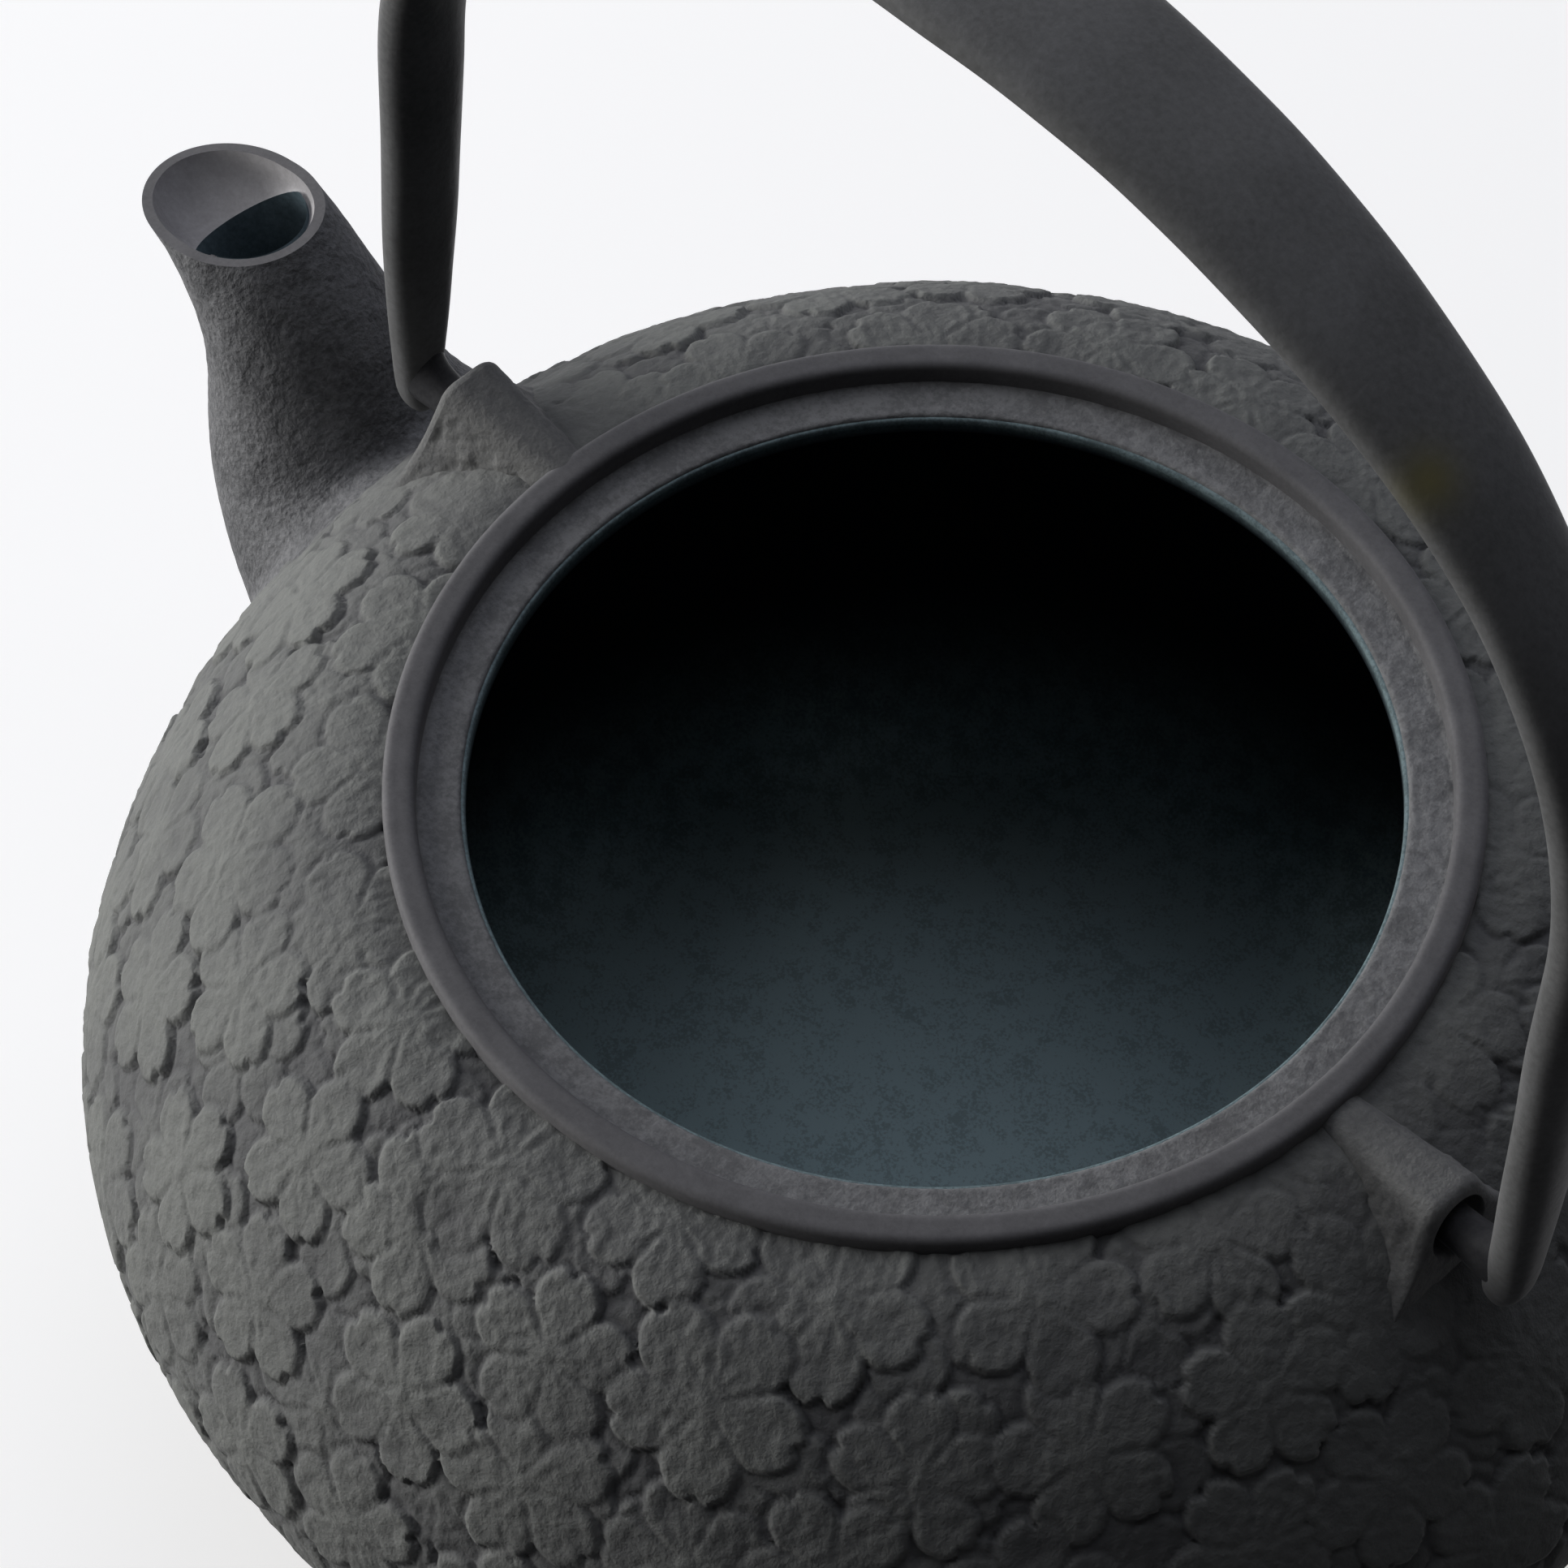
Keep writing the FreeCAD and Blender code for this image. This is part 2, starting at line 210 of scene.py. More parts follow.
def in_space(line):
    """Points (x, z) of the pot's middle plane as points (x, 0, z)."""
    return np.stack([line[..., 0], np.zeros(line.shape[:-1]), line[..., 1]], axis=-1)


def grid_normals(points):
    """Unit normals of a closed grid: the cross product of the steps along its rows and along its columns."""
    down = np.gradient(points, axis=0)
    along = np.roll(points, -1, axis=1) - np.roll(points, 1, axis=1)
    return unit(np.cross(down, along))


def quad_middles(points):
    """Middles of the quads of a closed grid, each the mean of its four points."""
    beside = np.roll(points, -1, axis=1)
    return (points[:-1] + points[1:] + beside[:-1] + beside[1:]) / 4


def mottle(rows, columns, grain):
    """Smooth random heights of unit spread: white noise whose spectrum a Gaussian cuts at grain cells."""
    noise = np.fft.rfft2(rng.standard_normal((rows, columns)))
    across = np.fft.fftfreq(rows)[:, None]
    along = np.fft.rfftfreq(columns)[None, :]
    kept = np.exp(-2 * (np.pi * grain / 2) ** 2 * (across ** 2 + along ** 2))
    field = np.fft.irfft2(noise * kept, s=(rows, columns))
    return field / field.std()


def grainy(shape, layers):
    """Random heights over a grid: the sum of each layer's depth times a mottle of its grain."""
    return sum(depth * mottle(shape[0], shape[1], grain) for depth, grain in layers)


def smoothstep(low, high, value):
    """0 at low and 1 at high, with the cubic 3 t squared minus 2 t cubed between them."""
    t = np.clip((value - low) / (high - low), 0, 1)
    return t * t * (3 - 2 * t)


def piece(name, points, material, part, flip=False, first_pole=False, last_pole=False, keep=None,
          normals=None, measures=None):
    """A mesh through a grid of points in millimetres, closed round its columns, riding on the part's body.

    Quads join neighbouring points, and a pole is one point that a whole row shares. keep picks the quads,
    and measures are named numbers of each point that the material reads."""
    body, slot, stands_for = part
    rows, columns = points.shape[:2]
    index = np.arange(rows * columns).reshape(rows, columns)
    if first_pole:
        index[0] = index[0, 0]
    if last_pole:
        index[-1] = index[-1, 0]
    beside = np.roll(index, -1, axis=1)
    quads = np.stack([index[:-1], index[1:], beside[1:], beside[:-1]], axis=-1)
    if keep is None:
        keep = np.ones(quads.shape[:2], bool)
    first, last = int(first_pole), quads.shape[0] - int(last_pole)
    fours = quads[first:last][keep[first:last]]
    threes = [quads[:first][:, :, [0, 1, 2]].reshape(-1, 3), quads[last:][:, :, [0, 1, 3]].reshape(-1, 3)]
    threes = np.concatenate(threes)
    if flip:
        fours, threes = fours[:, ::-1], threes[:, ::-1]
    corners = np.concatenate([fours.ravel(), threes.ravel()])
    starts = np.concatenate([np.arange(len(fours)) * 4, len(fours) * 4 + np.arange(len(threes)) * 3])
    used, corners = np.unique(corners, return_inverse=True)
    places = points.reshape(-1, 3)[used] * MM
    mesh = bpy.data.meshes.new(name)
    mesh.vertices.add(len(places))
    mesh.vertices.foreach_set("co", places.astype(np.float32).ravel())
    mesh.loops.add(len(corners))
    mesh.loops.foreach_set("vertex_index", corners.astype(np.int32).ravel())
    mesh.polygons.add(len(starts))
    mesh.polygons.foreach_set("loop_start", starts.astype(np.int32))
    mesh.update(calc_edges=True)
    mesh.shade_smooth()
    for measure, values in (measures or {}).items():
        data = mesh.attributes.new(measure, "FLOAT", "POINT").data
        data.foreach_set("value", np.asarray(values, np.float32).reshape(-1)[used])
    if normals is not None:
        facing = -normals if flip else normals
        mesh.normals_split_custom_set_from_vertices(facing.reshape(-1, 3)[used].tolist())
    mesh.materials.append(material)
    thing = bpy.data.objects.new(name, mesh)
    bpy.context.scene.collection.objects.link(thing)
    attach(thing, body)
    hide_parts(stands_for)


# Materials

COARSE_GRAIN = 3
COARSE_HEIGHT = 1.6
ROUGHNESS_SPREAD = 0.06


def colour(hexed):
    """An sRGB hex colour as linear RGBA."""
    value = np.array([int(hexed[i:i + 2], 16) for i in (1, 3, 5)]) / 255
    linear = np.where(value <= 0.04045, value / 12.92, ((value + 0.055) / 1.055) ** 2.4)
    return (*linear.tolist(), 1.0)


def add(tree, kind, sockets=None, **settings):
    """A node with its settings, its sockets set to values or linked."""
    node = tree.nodes.new(kind)
    for name, value in settings.items():
        setattr(node, name, value)
    for name, value in (sockets or {}).items():
        if isinstance(value, bpy.types.NodeSocket):
            tree.links.new(value, node.inputs[name])
        else:
            node.inputs[name].default_value = value
    return node


def per_mm(size):
    """The texture scale that gives features of that size in millimetres."""
    return 1 / (MM * size)


def new_tree(owner):
    """The empty node tree of a material or a world."""
    owner.use_nodes = True
    owner.node_tree.nodes.clear()
    return owner.node_tree


def finish(name, dark, light, roughness, grain, depth, patch=7.0, span=0.3, measure=None, weight=0.35,
           worn=None, specular=0.03):
    """Iron with a cast, worked or enamelled skin. patch, grain and depth are in millimetres.

    The colour lies between dark and light by soft patches and the grain's own heights, or by a measure of
    the piece's points, which these vary by weight. It turns to the worn colour where the measure rub says so.
    The smaller the span, the sharper the mottling. The patches vary the roughness, and two sizes of grain
    give the bump."""
    material = bpy.data.materials.new(name)
    tree = new_tree(material)
    place = add(tree, "ShaderNodeTexCoord").outputs["Object"]
    patches, fine, coarse = [
        add(tree, "ShaderNodeTexNoise", {
            "Vector": place, "Scale": per_mm(size), "Detail": detail, "Roughness": rough}).outputs["Fac"]
        for size, detail, rough in ((patch, 4.0, 0.6), (grain, 3.0, 0.65), (grain * COARSE_GRAIN, 2.0, 0.5))]
    summed = add(tree, "ShaderNodeMath", {0: patches, 1: fine}, operation="ADD")
    spread = add(tree, "ShaderNodeMapRange", {
        "Value": summed.outputs[0], "From Min": 1 - span, "From Max": 1 + span})
    share = spread.outputs["Result"]
    if measure:
        given = add(tree, "ShaderNodeAttribute", attribute_name=measure)
        varied = add(tree, "ShaderNodeMapRange", {"Value": share, "To Min": 1 - weight, "To Max": 1 + weight})
        share = add(tree, "ShaderNodeMath", {0: given.outputs["Fac"], 1: varied.outputs["Result"]},
                    operation="MULTIPLY", use_clamp=True).outputs[0]
    tint = add(tree, "ShaderNodeMix", {0: share, 6: colour(dark), 7: colour(light)}, data_type="RGBA")
    if worn:
        rub = add(tree, "ShaderNodeAttribute", attribute_name="rub")
        tint = add(tree, "ShaderNodeMix", {0: rub.outputs["Fac"], 6: tint.outputs[2], 7: colour(worn)},
                   data_type="RGBA")
    dull = add(tree, "ShaderNodeMapRange", {
        "Value": patches, "From Min": 0.3, "From Max": 0.7,
        "To Min": roughness - ROUGHNESS_SPREAD, "To Max": roughness + ROUGHNESS_SPREAD})
    heights = add(tree, "ShaderNodeMath", {0: coarse, 1: COARSE_HEIGHT, 2: fine}, operation="MULTIPLY_ADD")
    bump = add(tree, "ShaderNodeBump", {
        "Height": heights.outputs[0], "Strength": 1.0, "Distance": depth * MM})
    shader = add(tree, "ShaderNodeBsdfPrincipled", {
        "Base Color": tint.outputs[2], "Roughness": dull.outputs["Result"], "Normal": bump.outputs["Normal"],
        "Specular IOR Level": specular})
    add(tree, "ShaderNodeOutputMaterial", {"Surface": shader.outputs["BSDF"]})
    return material


# Cast iron blackened after casting: matt, with a fine sand grain, and paler where the relief is rubbed
blossom_iron = finish("blackened_cast_iron", "#5a5a5b", "#70716f", 0.62, 0.45, 0.11, measure="relief")
# The same iron straight from the moulding sand, with a fine open grain
sand_iron = finish("sand_cast_iron", "#545456", "#737375", 0.58, 0.55, 0.22, span=0.2)
# The lugs' iron, cast in finer sand and dressed with a file: nearly even, with a shallow grain
lug_iron = finish("filed_cast_iron", "#5a5a5b", "#717170", 0.6, 0.5, 0.1)
# Turned on a lathe and blackened again: the grain is nearly gone
turned_iron = finish("turned_blackened_iron", "#5d5c5e", "#6b6a6c", 0.5, 0.4, 0.015, patch=4.0)
# Turned with a coarse cut where the lid rests: paler, mottled and matt
ledge_iron = finish("rough_turned_iron", "#6c6c6d", "#828283", 0.6, 0.45, 0.09, patch=3.0, span=0.15)
# Ground with a small stone: the palest iron, smooth, with a dull gloss
ground_iron = finish("ground_iron", "#888688", "#9b999b", 0.48, 0.5, 0.02, patch=3.0)
# Black lacquer baked on forged iron: smoother, with a soft gloss, and rubbed brown at one spot
lacquered_iron = finish("lacquered_iron", "#555555", "#676768", 0.42, 0.6, 0.03, patch=9.0, worn="#6c674a",
                        specular=0.04)
# The pegs' iron, painted dark as the shade that the lugs cast on them in their sockets
peg_shade_iron = finish("peg_iron_painted_shade", "#2c2c2e", "#3d3d3f", 0.4, 0.5, 0.03, patch=3.0)
# Blue-black enamel, matt, with fine speckles: pale on the pot's floor, partly wear and partly a painted pool
# of light, and painted dark up the walls as painted shade
enamel = finish("dark_enamel", "#171b21", "#c2dbe0", 0.6, 0.3, 0.02, patch=2.4, span=0.16, measure="wear_and_shade",
                weight=0.26, specular=0.01)
# The same enamel in the spout: paler, an even blue-grey
throat_enamel = finish("throat_enamel", "#3a454b", "#525f66", 0.6, 0.45, 0.02, patch=5.0)
# Steel turned bright: pale, with a clear gloss
steel = finish("turned_steel", "#8f8d8a", "#a3a19e", 0.35, 0.4, 0.01, patch=3.0, specular=0.5)


# Pot: its outer and inner profiles

CURVE_STEPS = 400
BOWL_PULL = 1.3 * BELLY_PULL  # how long the inside stays upright below the belly
BOWL_FOOT = (BASE_RADIUS + 7, FLOOR)  # where it tends to before it meets the floor
FLOOR_EDGE = (BASE_RADIUS - 10, FLOOR)


def outer_profile(count):
    """Radius and height at count equal steps of two cubic curves: from the rim's foot over the shoulder to
    the belly, and on down the flank to the base."""
    share = np.linspace(0, 1, CURVE_STEPS)
    flat_end = np.add(RIM_FOOT, polar(SHOULDER_FLAT[1], SHOULDER_FLAT[0]))
    base = np.array([BASE_RADIUS, 0])
    base_pole = base + polar(BASE_TURN[1], BASE_TURN[0])
    shoulder = cubic([RIM_FOOT, flat_end, np.add(BELLY, (0, BELLY_PULL)), BELLY], share)
    flank = cubic([BELLY, np.add(BELLY, (0, -BELLY_PULL)), base_pole, base], share)
    return evenly(np.concatenate([shoulder, flank[1:]]), count)


def inner_profile(count):
    """The same for the inside, from the lip over the belly and round into the floor."""
    share = np.linspace(0, 1, CURVE_STEPS)
    flat_end = np.add(RIM_FOOT, polar(SHOULDER_FLAT[1], SHOULDER_FLAT[0]))
    flat_end = flat_end + polar(SHOULDER_FLAT[1] - 90, WALL)
    belly = np.array([BELLY[0] - WALL, BELLY[1]])
    shoulder = cubic([LIP_FOOT, flat_end, belly + (0, BELLY_PULL), belly], share)
    bowl = cubic([belly, belly - (0, BOWL_PULL), BOWL_FOOT, FLOOR_EDGE], share)
    return evenly(np.concatenate([shoulder, bowl[1:]]), count)


def profile_facing(profile):
    """Outward unit normals of a profile that runs down from the rim: its steps, turned a quarter."""
    steps = np.gradient(profile, axis=0)
    return unit(np.stack([-steps[:, 1], steps[:, 0]], axis=-1))


def profile_gap(profile, points):
    """Distance of points from a turned profile, positive on its outer side, and its outward unit normals,
    both taken at the profile's nearest point."""
    radius = np.hypot(points[..., 0], points[..., 1])
    flat = np.stack([radius, points[..., 2]], axis=-1).reshape(-1, 2)
    facing = profile_facing(profile)
    nearest = ((flat[:, None, :] - profile[None, :, :]) ** 2).sum(-1).argmin(1)
    gap = ((flat - profile[nearest]) * facing[nearest]).sum(-1).reshape(radius.shape)
    out = facing[nearest].reshape(radius.shape + (2,))
    around = points[..., :2] / np.maximum(radius, 1e-9)[..., None]
    return gap, np.concatenate([around * out[..., :1], out[..., 1:]], axis=-1)


def pushed(points, profile, target):
    """Points moved along the profile's normal until their distance from it is target."""
    gap, normal = profile_gap(profile, points)
    return points + normal * (target - gap)[..., None]


PROFILE_STEPS = 240
outer_coarse = outer_profile(PROFILE_STEPS)
inner_coarse = inner_profile(PROFILE_STEPS)

# Blossom relief: heights in millimetres, the rest in shares of a blossom's size where no unit is given

PETAL_OUT = 0.60
PETAL_ROUND = 0.39
HEART = 0.42
NOTCH = (0.1, 0.06)  # depth and width
NOTCH_START = (0.75, 0.95)
PILLOW = (0.3, 0.75)  # height, and width of the round edge in millimetres
CUP = (0.26, 0.24)  # length and width
CUP_DEPTHS = (0.17, 0.04)  # of dished petals and of the others
CUPPED_SHARE = 0.3  # share of blossoms with dished petals
PARTING = (0.09, 0.3)  # depth, and width in millimetres
PARTING_START = (0.1, 0.3)
STAMEN = (0.05, 0.22)  # height, and width in millimetres
STAMEN_ANGLE = 0.42  # in radians
STAMEN_START = (0.14, 0.2)
STAMEN_END = (0.52, 0.42)
BOSS = (0.12, 0.1)  # height and width
BLOSSOM_SIZES = (0.5, 0.6)  # in shares of their spacing
BLOSSOM_REACH = 1.2
RING_SPACING = 0.87  # in shares of the spacing, as is the scatter
SCATTER = 0.18
LAYERS = ((-0.26, 0.33), (0.0, 0.0))  # heights, and shifts in shares of the spacing round the pot
LAYER_SHIFT = 6  # shift down the pot in millimetres, for a whole shift round it
LIFT = 0.07
TILT = 0.12
EDGE = (-0.1, 0.2)  # in millimetres
EDGE_GROOVE = (0.16, 0.5)  # depth, and width in millimetres
GROUND = -0.5
DEEPEST = -0.8


def bell(depth, width, away):
    """A Gaussian bell of that depth and width."""
    return depth * np.exp(-(away / width) ** 2)


def blossom(x, y, size, spin, cup):
    """Heights of one blossom about its centre in millimetres, and how far each point is inside its edge.

    Five circles set out from the centre are its petals, each with a notch in its tip, and a disc fills the
    middle. The petals are pillows with a round edge, dished by cup, parted by grooves, with stamens round a
    low boss."""
    half_petal = np.pi / 5
    radius = np.hypot(x, y) / size
    fold = (np.arctan2(y, x) + spin + half_petal) % (2 * half_petal) - half_petal
    along, across = radius * np.cos(fold), radius * np.sin(fold)
    inside = np.maximum(PETAL_ROUND - np.hypot(along - PETAL_OUT, across), HEART - radius)
    inside = (inside - bell(*NOTCH, across) * smoothstep(*NOTCH_START, along)) * size
    height = PILLOW[0] * np.sqrt(1 - (1 - np.clip(inside / PILLOW[1], 0, 1)) ** 2) - PILLOW[0]
    height -= cup * np.exp(-((along - PETAL_OUT) / CUP[0]) ** 2 - (across / CUP[1]) ** 2)
    parting = size * radius * np.sin(half_petal - np.abs(fold))
    height -= bell(*PARTING, parting) * smoothstep(*PARTING_START, radius)
    stamen = size * np.minimum(np.abs(across), radius * np.abs(np.abs(fold) - STAMEN_ANGLE))
    height += bell(*STAMEN, stamen) * smoothstep(*STAMEN_START, radius) * smoothstep(*STAMEN_END, radius)
    return height + bell(*BOSS, radius), inside


def strewn(points, reach, start, stop, spacing, shift):
    """Places of blossoms as (distance along the profile, share of a turn): staggered rings, each place moved
    at random."""
    radius = np.hypot(points[:, 0, 0], points[:, 0, 1])
    spots = []
    for number, at in enumerate(np.arange(start, stop, RING_SPACING * spacing)):
        count = max(4, int(round(2 * np.pi * np.interp(at, reach, radius) / spacing)))
        turns = (np.arange(count) + 0.5 * number + shift + rng.uniform(-SCATTER, SCATTER, count)) / count
        spots.append(np.stack([at + rng.uniform(-SCATTER, SCATTER, count) * spacing, turns % 1], axis=1))
    return rng.permutation(np.concatenate(spots))


def blossom_relief(points, reach, start, stop, spacing):
    """Heights of blossoms strewn over a turned surface whose rows lie at distances reach along its profile.

    A lower layer fills the gaps of an upper one. Each blossom is pressed over those before it, with a groove
    round it."""
    rows, columns = points.shape[:2]
    radius = np.hypot(points[:, 0, 0], points[:, 0, 1])
    down = unit(np.gradient(points, axis=0))
    relief = np.full((rows, columns), GROUND)
    for level, shift in LAYERS:
        spots = strewn(points, reach, start + LAYER_SHIFT * shift, stop, spacing, shift)
        sizes = spacing * rng.uniform(*BLOSSOM_SIZES, len(spots))
        cups = np.where(rng.random(len(spots)) < CUPPED_SHARE, *CUP_DEPTHS)
        spins = rng.uniform(0, 2 * np.pi, (len(spots), 2))
        lifts = level + rng.uniform(-LIFT, LIFT, len(spots))
        for (place, turn), size, cup, (spin, lean), lift in zip(spots, sizes, cups, spins, lifts):
            row = int(np.clip(np.searchsorted(reach, place), 0, rows - 1))
            column = int(turn * columns) % columns
            around = BLOSSOM_REACH * size
            low, high = np.searchsorted(reach, [place - around, place + around])
            half = int(np.ceil(around / (2 * np.pi * max(radius[row], size) / columns)))
            patch = np.ix_(np.arange(low, high), (column + np.arange(-half, half + 1)) % columns)
            away = points[patch] - points[row, column]
            u = away @ unit(np.array([-points[row, column, 1], points[row, column, 0], 0.0]))
            v = away @ down[row, column]
            height, inside = blossom(u, v, size, spin, cup)
            height = height + lift + TILT * (u * np.cos(lean) + v * np.sin(lean)) / size
            share = smoothstep(*EDGE, inside)
            relief[patch] = (relief[patch] - bell(*EDGE_GROOVE, inside)) * (1 - share) + height * share
    return np.maximum(relief, DEEPEST)


# Spout: its axis, its rings and where they meet the pot

SPOUT_COLUMNS = 200
SPOUT_SPAN = (0.2, 1.25)  # shares of the axis that can lie near the pot's wall
HOLE_LIMITS = (-30, 25)  # highest x and widest y that the hole in the wall can have
FOOT_ROUND = 1.6
FOOT_SUNK = 0.5


def spout_axis(share):
    """Points (x, z) of the axis: a cubic curve that goes on straight past the mouth for a negative share."""
    mouth, root = np.array(SPOUT_MOUTH), np.array(SPOUT_ROOT)
    mouth_pole = mouth + polar(-SPOUT_PITCH[0], SPOUT_PULL[0])
    root_pole = root + polar(180 - SPOUT_PITCH[1], SPOUT_PULL[1])
    past = np.minimum(share, 0)[:, None] * 3 * (mouth_pole - mouth)
    return cubic([mouth, mouth_pole, root_pole, root], np.maximum(share, 0)) + past


def spout_radius(share):
    """Outer radius along the axis, the cubic of the four named radii, held past the ends."""
    return cubic(np.array(SPOUT_RADII)[:, None], np.clip(share, 0, 1))[..., 0]


def tube(share, radius):
    """Rings square to the axis: the points, and the unit directions out of the axis."""
    centre = spout_axis(share)
    run = unit(np.gradient(centre, share, axis=0))
    turn = circle(SPOUT_COLUMNS)[None, :, None]
    up = in_space(np.stack([-run[:, 1], run[:, 0]], axis=-1))
    out = np.cos(turn) * up[:, None, :] + np.sin(turn) * np.array([0.0, 1.0, 0.0])
    return in_space(centre)[:, None, :] + radius[:, None, None] * out, out


def crossing(values, target):
    """For each column of values that fall along the rows, the fractional row where they reach target."""
    low = np.clip((values > target).sum(axis=0) - 1, 0, len(values) - 2)
    before = np.take_along_axis(values, low[None], 0)[0]
    after = np.take_along_axis(values, low[None] + 1, 0)[0]
    return low + np.clip((before - target) / np.where(before == after, 1, before - after), 0, 1)


def sampled(grid, row):
    """Points of a grid at fractional rows, one row number for each column, by linear interpolation."""
    low = np.clip(row.astype(int), 0, len(grid) - 2)
    part = (row - low)[..., None]
    column = np.arange(grid.shape[1])
    return grid[low, column] * (1 - part) + grid[low + 1, column] * part


def flared_foot(points, out, profile, start, radius, level, steps):
    """Rows that carry a tube from fractional row start over a quarter round of that radius into a turned
    surface, and FOOT_SUNK into it. The surface lies at a level above the profile.

    At angle a the row lies radius times (1 - sin a) above the surface and radius times (1 - cos a) out from
    the tube."""
    gap, _ = profile_gap(profile, points)
    rows = []
    for angle in np.linspace(0, np.pi / 2, steps):
        height = radius * (1 - np.sin(angle)) + level
        at = np.maximum(crossing(gap, height), start)
        foot = sampled(points, at)
        side = sampled(out, at)
        _, normal = profile_gap(profile, foot)
        along = unit(side - (side * normal).sum(-1, keepdims=True) * normal)
        rows.append(pushed(foot + along * radius * (1 - np.cos(angle)), profile, height))
    rows.append(pushed(rows[-1] + along, profile, level - FOOT_SUNK))
    return np.stack(rows)


def mouth_height(points):
    """Height above the plane that cuts the spout off."""
    slope = np.radians(SPOUT_TILT)
    away = points - in_space(np.array(SPOUT_MOUTH))
    return away @ np.array([-np.sin(slope), 0, np.cos(slope)])


def spout_gap(points, steps):
    """How far points lie outside the spout: their distance from the nearest of that many points of its axis,
    less the radius there."""
    share = np.linspace(*SPOUT_SPAN, steps)
    away = np.linalg.norm(points[:, None, :] - in_space(spout_axis(share))[None, :, :], axis=-1)
    nearest = away.argmin(1)
    return away[np.arange(len(points)), nearest] - spout_radius(share[nearest])


def spout_hole(points, shrink):
    """Quads of a closed grid that lie outside the spout, whose radius is taken smaller by shrink."""
    middle = quad_middles(points)
    outside = np.ones(middle.shape[:2], bool)
    near = (middle[..., 0] < HOLE_LIMITS[0]) & (np.abs(middle[..., 1]) < HOLE_LIMITS[1])
    outside[near] = spout_gap(middle[near], steps=120) > -shrink
    return outside


# Pot wall, base and inside

COLUMNS = 1280
PIECE_ROWS = 71
WALL_PIECES = ("upper_shoulder", "lower_shoulder", "upper_flank", "lower_flank")
WALL_BLOSSOMS = 14.2  # spacing
RIM_MARGIN = 3.0
BASE_MARGIN = 11.0
BASE_PLAIN = 7.0
LUG_PLAIN = 0.6  # how plain the wall is beside a lug
LUG_PLAIN_ACROSS = (13.0, 8.0)
LUG_PLAIN_OUT = (66.0, 59.0)
SPOUT_PLAIN = (8.0, 2.0)  # distances from the spout between which the relief fades
SPOUT_SIDE = (-25, 45)  # highest x and widest y that this can reach
PLAIN_LEVEL = -0.35
SURFACE_SHARE = 85  # percent of the relief that lies below the solid's surface
RELIEF_TOP = 0.3
BOX_MARGIN = 0.01
RUBBED = (0.9, 0.7)  # how rubbed the surface is, and the height that changes this by 1
WALL_OVERLAP = 1.0
INSIDE_OVERLAP = 0.8
LIP_TOP = LEDGE - 0.3
LIP_WIDTH = 0.5
FLOOR_WEAR_AND_SHADE = (20.0, 3.0)  # heights between which the enamel goes from painted shade on the walls to the pale floor, partly wear and partly painted light
LIP_WEAR = 0.3
LIP_WEAR_START = (LEDGE - 1.2, LEDGE - 0.6)


def plain_share(points, reach):
    """How plain the wall is, from 0 to 1: fully near the base and round the spout, partly beside the lugs."""
    x, y, z = np.moveaxis(points, -1, 0)
    above_base = smoothstep(reach[-1] - BASE_MARGIN, reach[-1] - BASE_PLAIN, reach)
    beside_lug = smoothstep(*LUG_PLAIN_ACROSS, np.abs(y)) * smoothstep(*LUG_PLAIN_OUT, np.abs(x))
    plain = np.maximum(above_base[:, None], LUG_PLAIN * beside_lug * (z > BELLY[1]))
    near = (x < SPOUT_SIDE[0]) & (np.abs(y) < SPOUT_SIDE[1])
    plain[near] = np.maximum(plain[near], smoothstep(*SPOUT_PLAIN, spout_gap(points[near], steps=40)))
    return plain


def peg_room(points, out):
    """How high the relief may stand: under the pegs as far along the normal as the bottom of the sockets,
    which goes on as a channel, and without a limit elsewhere."""
    x, y, z = np.moveaxis(points, -1, 0)
    under_peg = (np.abs(y) < SOCKET_RADIUS) & (np.abs(x) > LUG_FACE - SOCKET_DEPTH) & (z > BELLY[1])
    bottom = SOCKET_HEIGHT - np.sqrt(np.maximum(SOCKET_RADIUS ** 2 - y ** 2, 0))
    return np.where(under_peg, (bottom - z) / np.maximum(out[..., 2], 0.1), np.inf)


def pot_wall():
    """The outer profile turned, and moved along its normals by the relief, which fades to a sandy skin."""
    profile = outer_profile(len(WALL_PIECES) * PIECE_ROWS + 1)
    smooth = turned(profile, COLUMNS)
    out = turned(profile_facing(profile), COLUMNS)
    reach = distances(profile)
    relief = blossom_relief(smooth, reach, RIM_MARGIN, reach[-1] - BASE_MARGIN, WALL_BLOSSOMS)
    relief += grainy(relief.shape, RELIEF_GRAIN)
    plain = plain_share(smooth, reach)
    relief = relief * (1 - plain) + (grainy(relief.shape, WALL_SAND) + PLAIN_LEVEL) * plain
    relief = np.minimum(relief - np.percentile(relief, SURFACE_SHARE), RELIEF_TOP)
    relief = np.minimum(relief, BELLY[0] - BOX_MARGIN - profile[:, :1])
    relief = np.minimum(relief, peg_room(smooth, out))
    rubbed = np.clip(RUBBED[0] + relief / RUBBED[1], 0, 1)
    points = smooth + out * relief[..., None]
    normals = grid_normals(points)
    keep = spout_hole(smooth, WALL_OVERLAP)
    for number, name in enumerate(WALL_PIECES):
        quads = slice(number * PIECE_ROWS, (number + 1) * PIECE_ROWS)
        rows = slice(quads.start, quads.stop + 1)
        piece(name, points[rows], blossom_iron, POT, keep=keep[quads], normals=normals[rows],
              measures={"relief": rubbed[rows]})


def pot_base():
    """A flat disc, turned."""
    line = subdivided(np.array([(BASE_RADIUS, 0.0), (0.0, 0.0)]), step=4.0)
    piece("base", turned(line, columns=200), sand_iron, POT, last_pole=True)


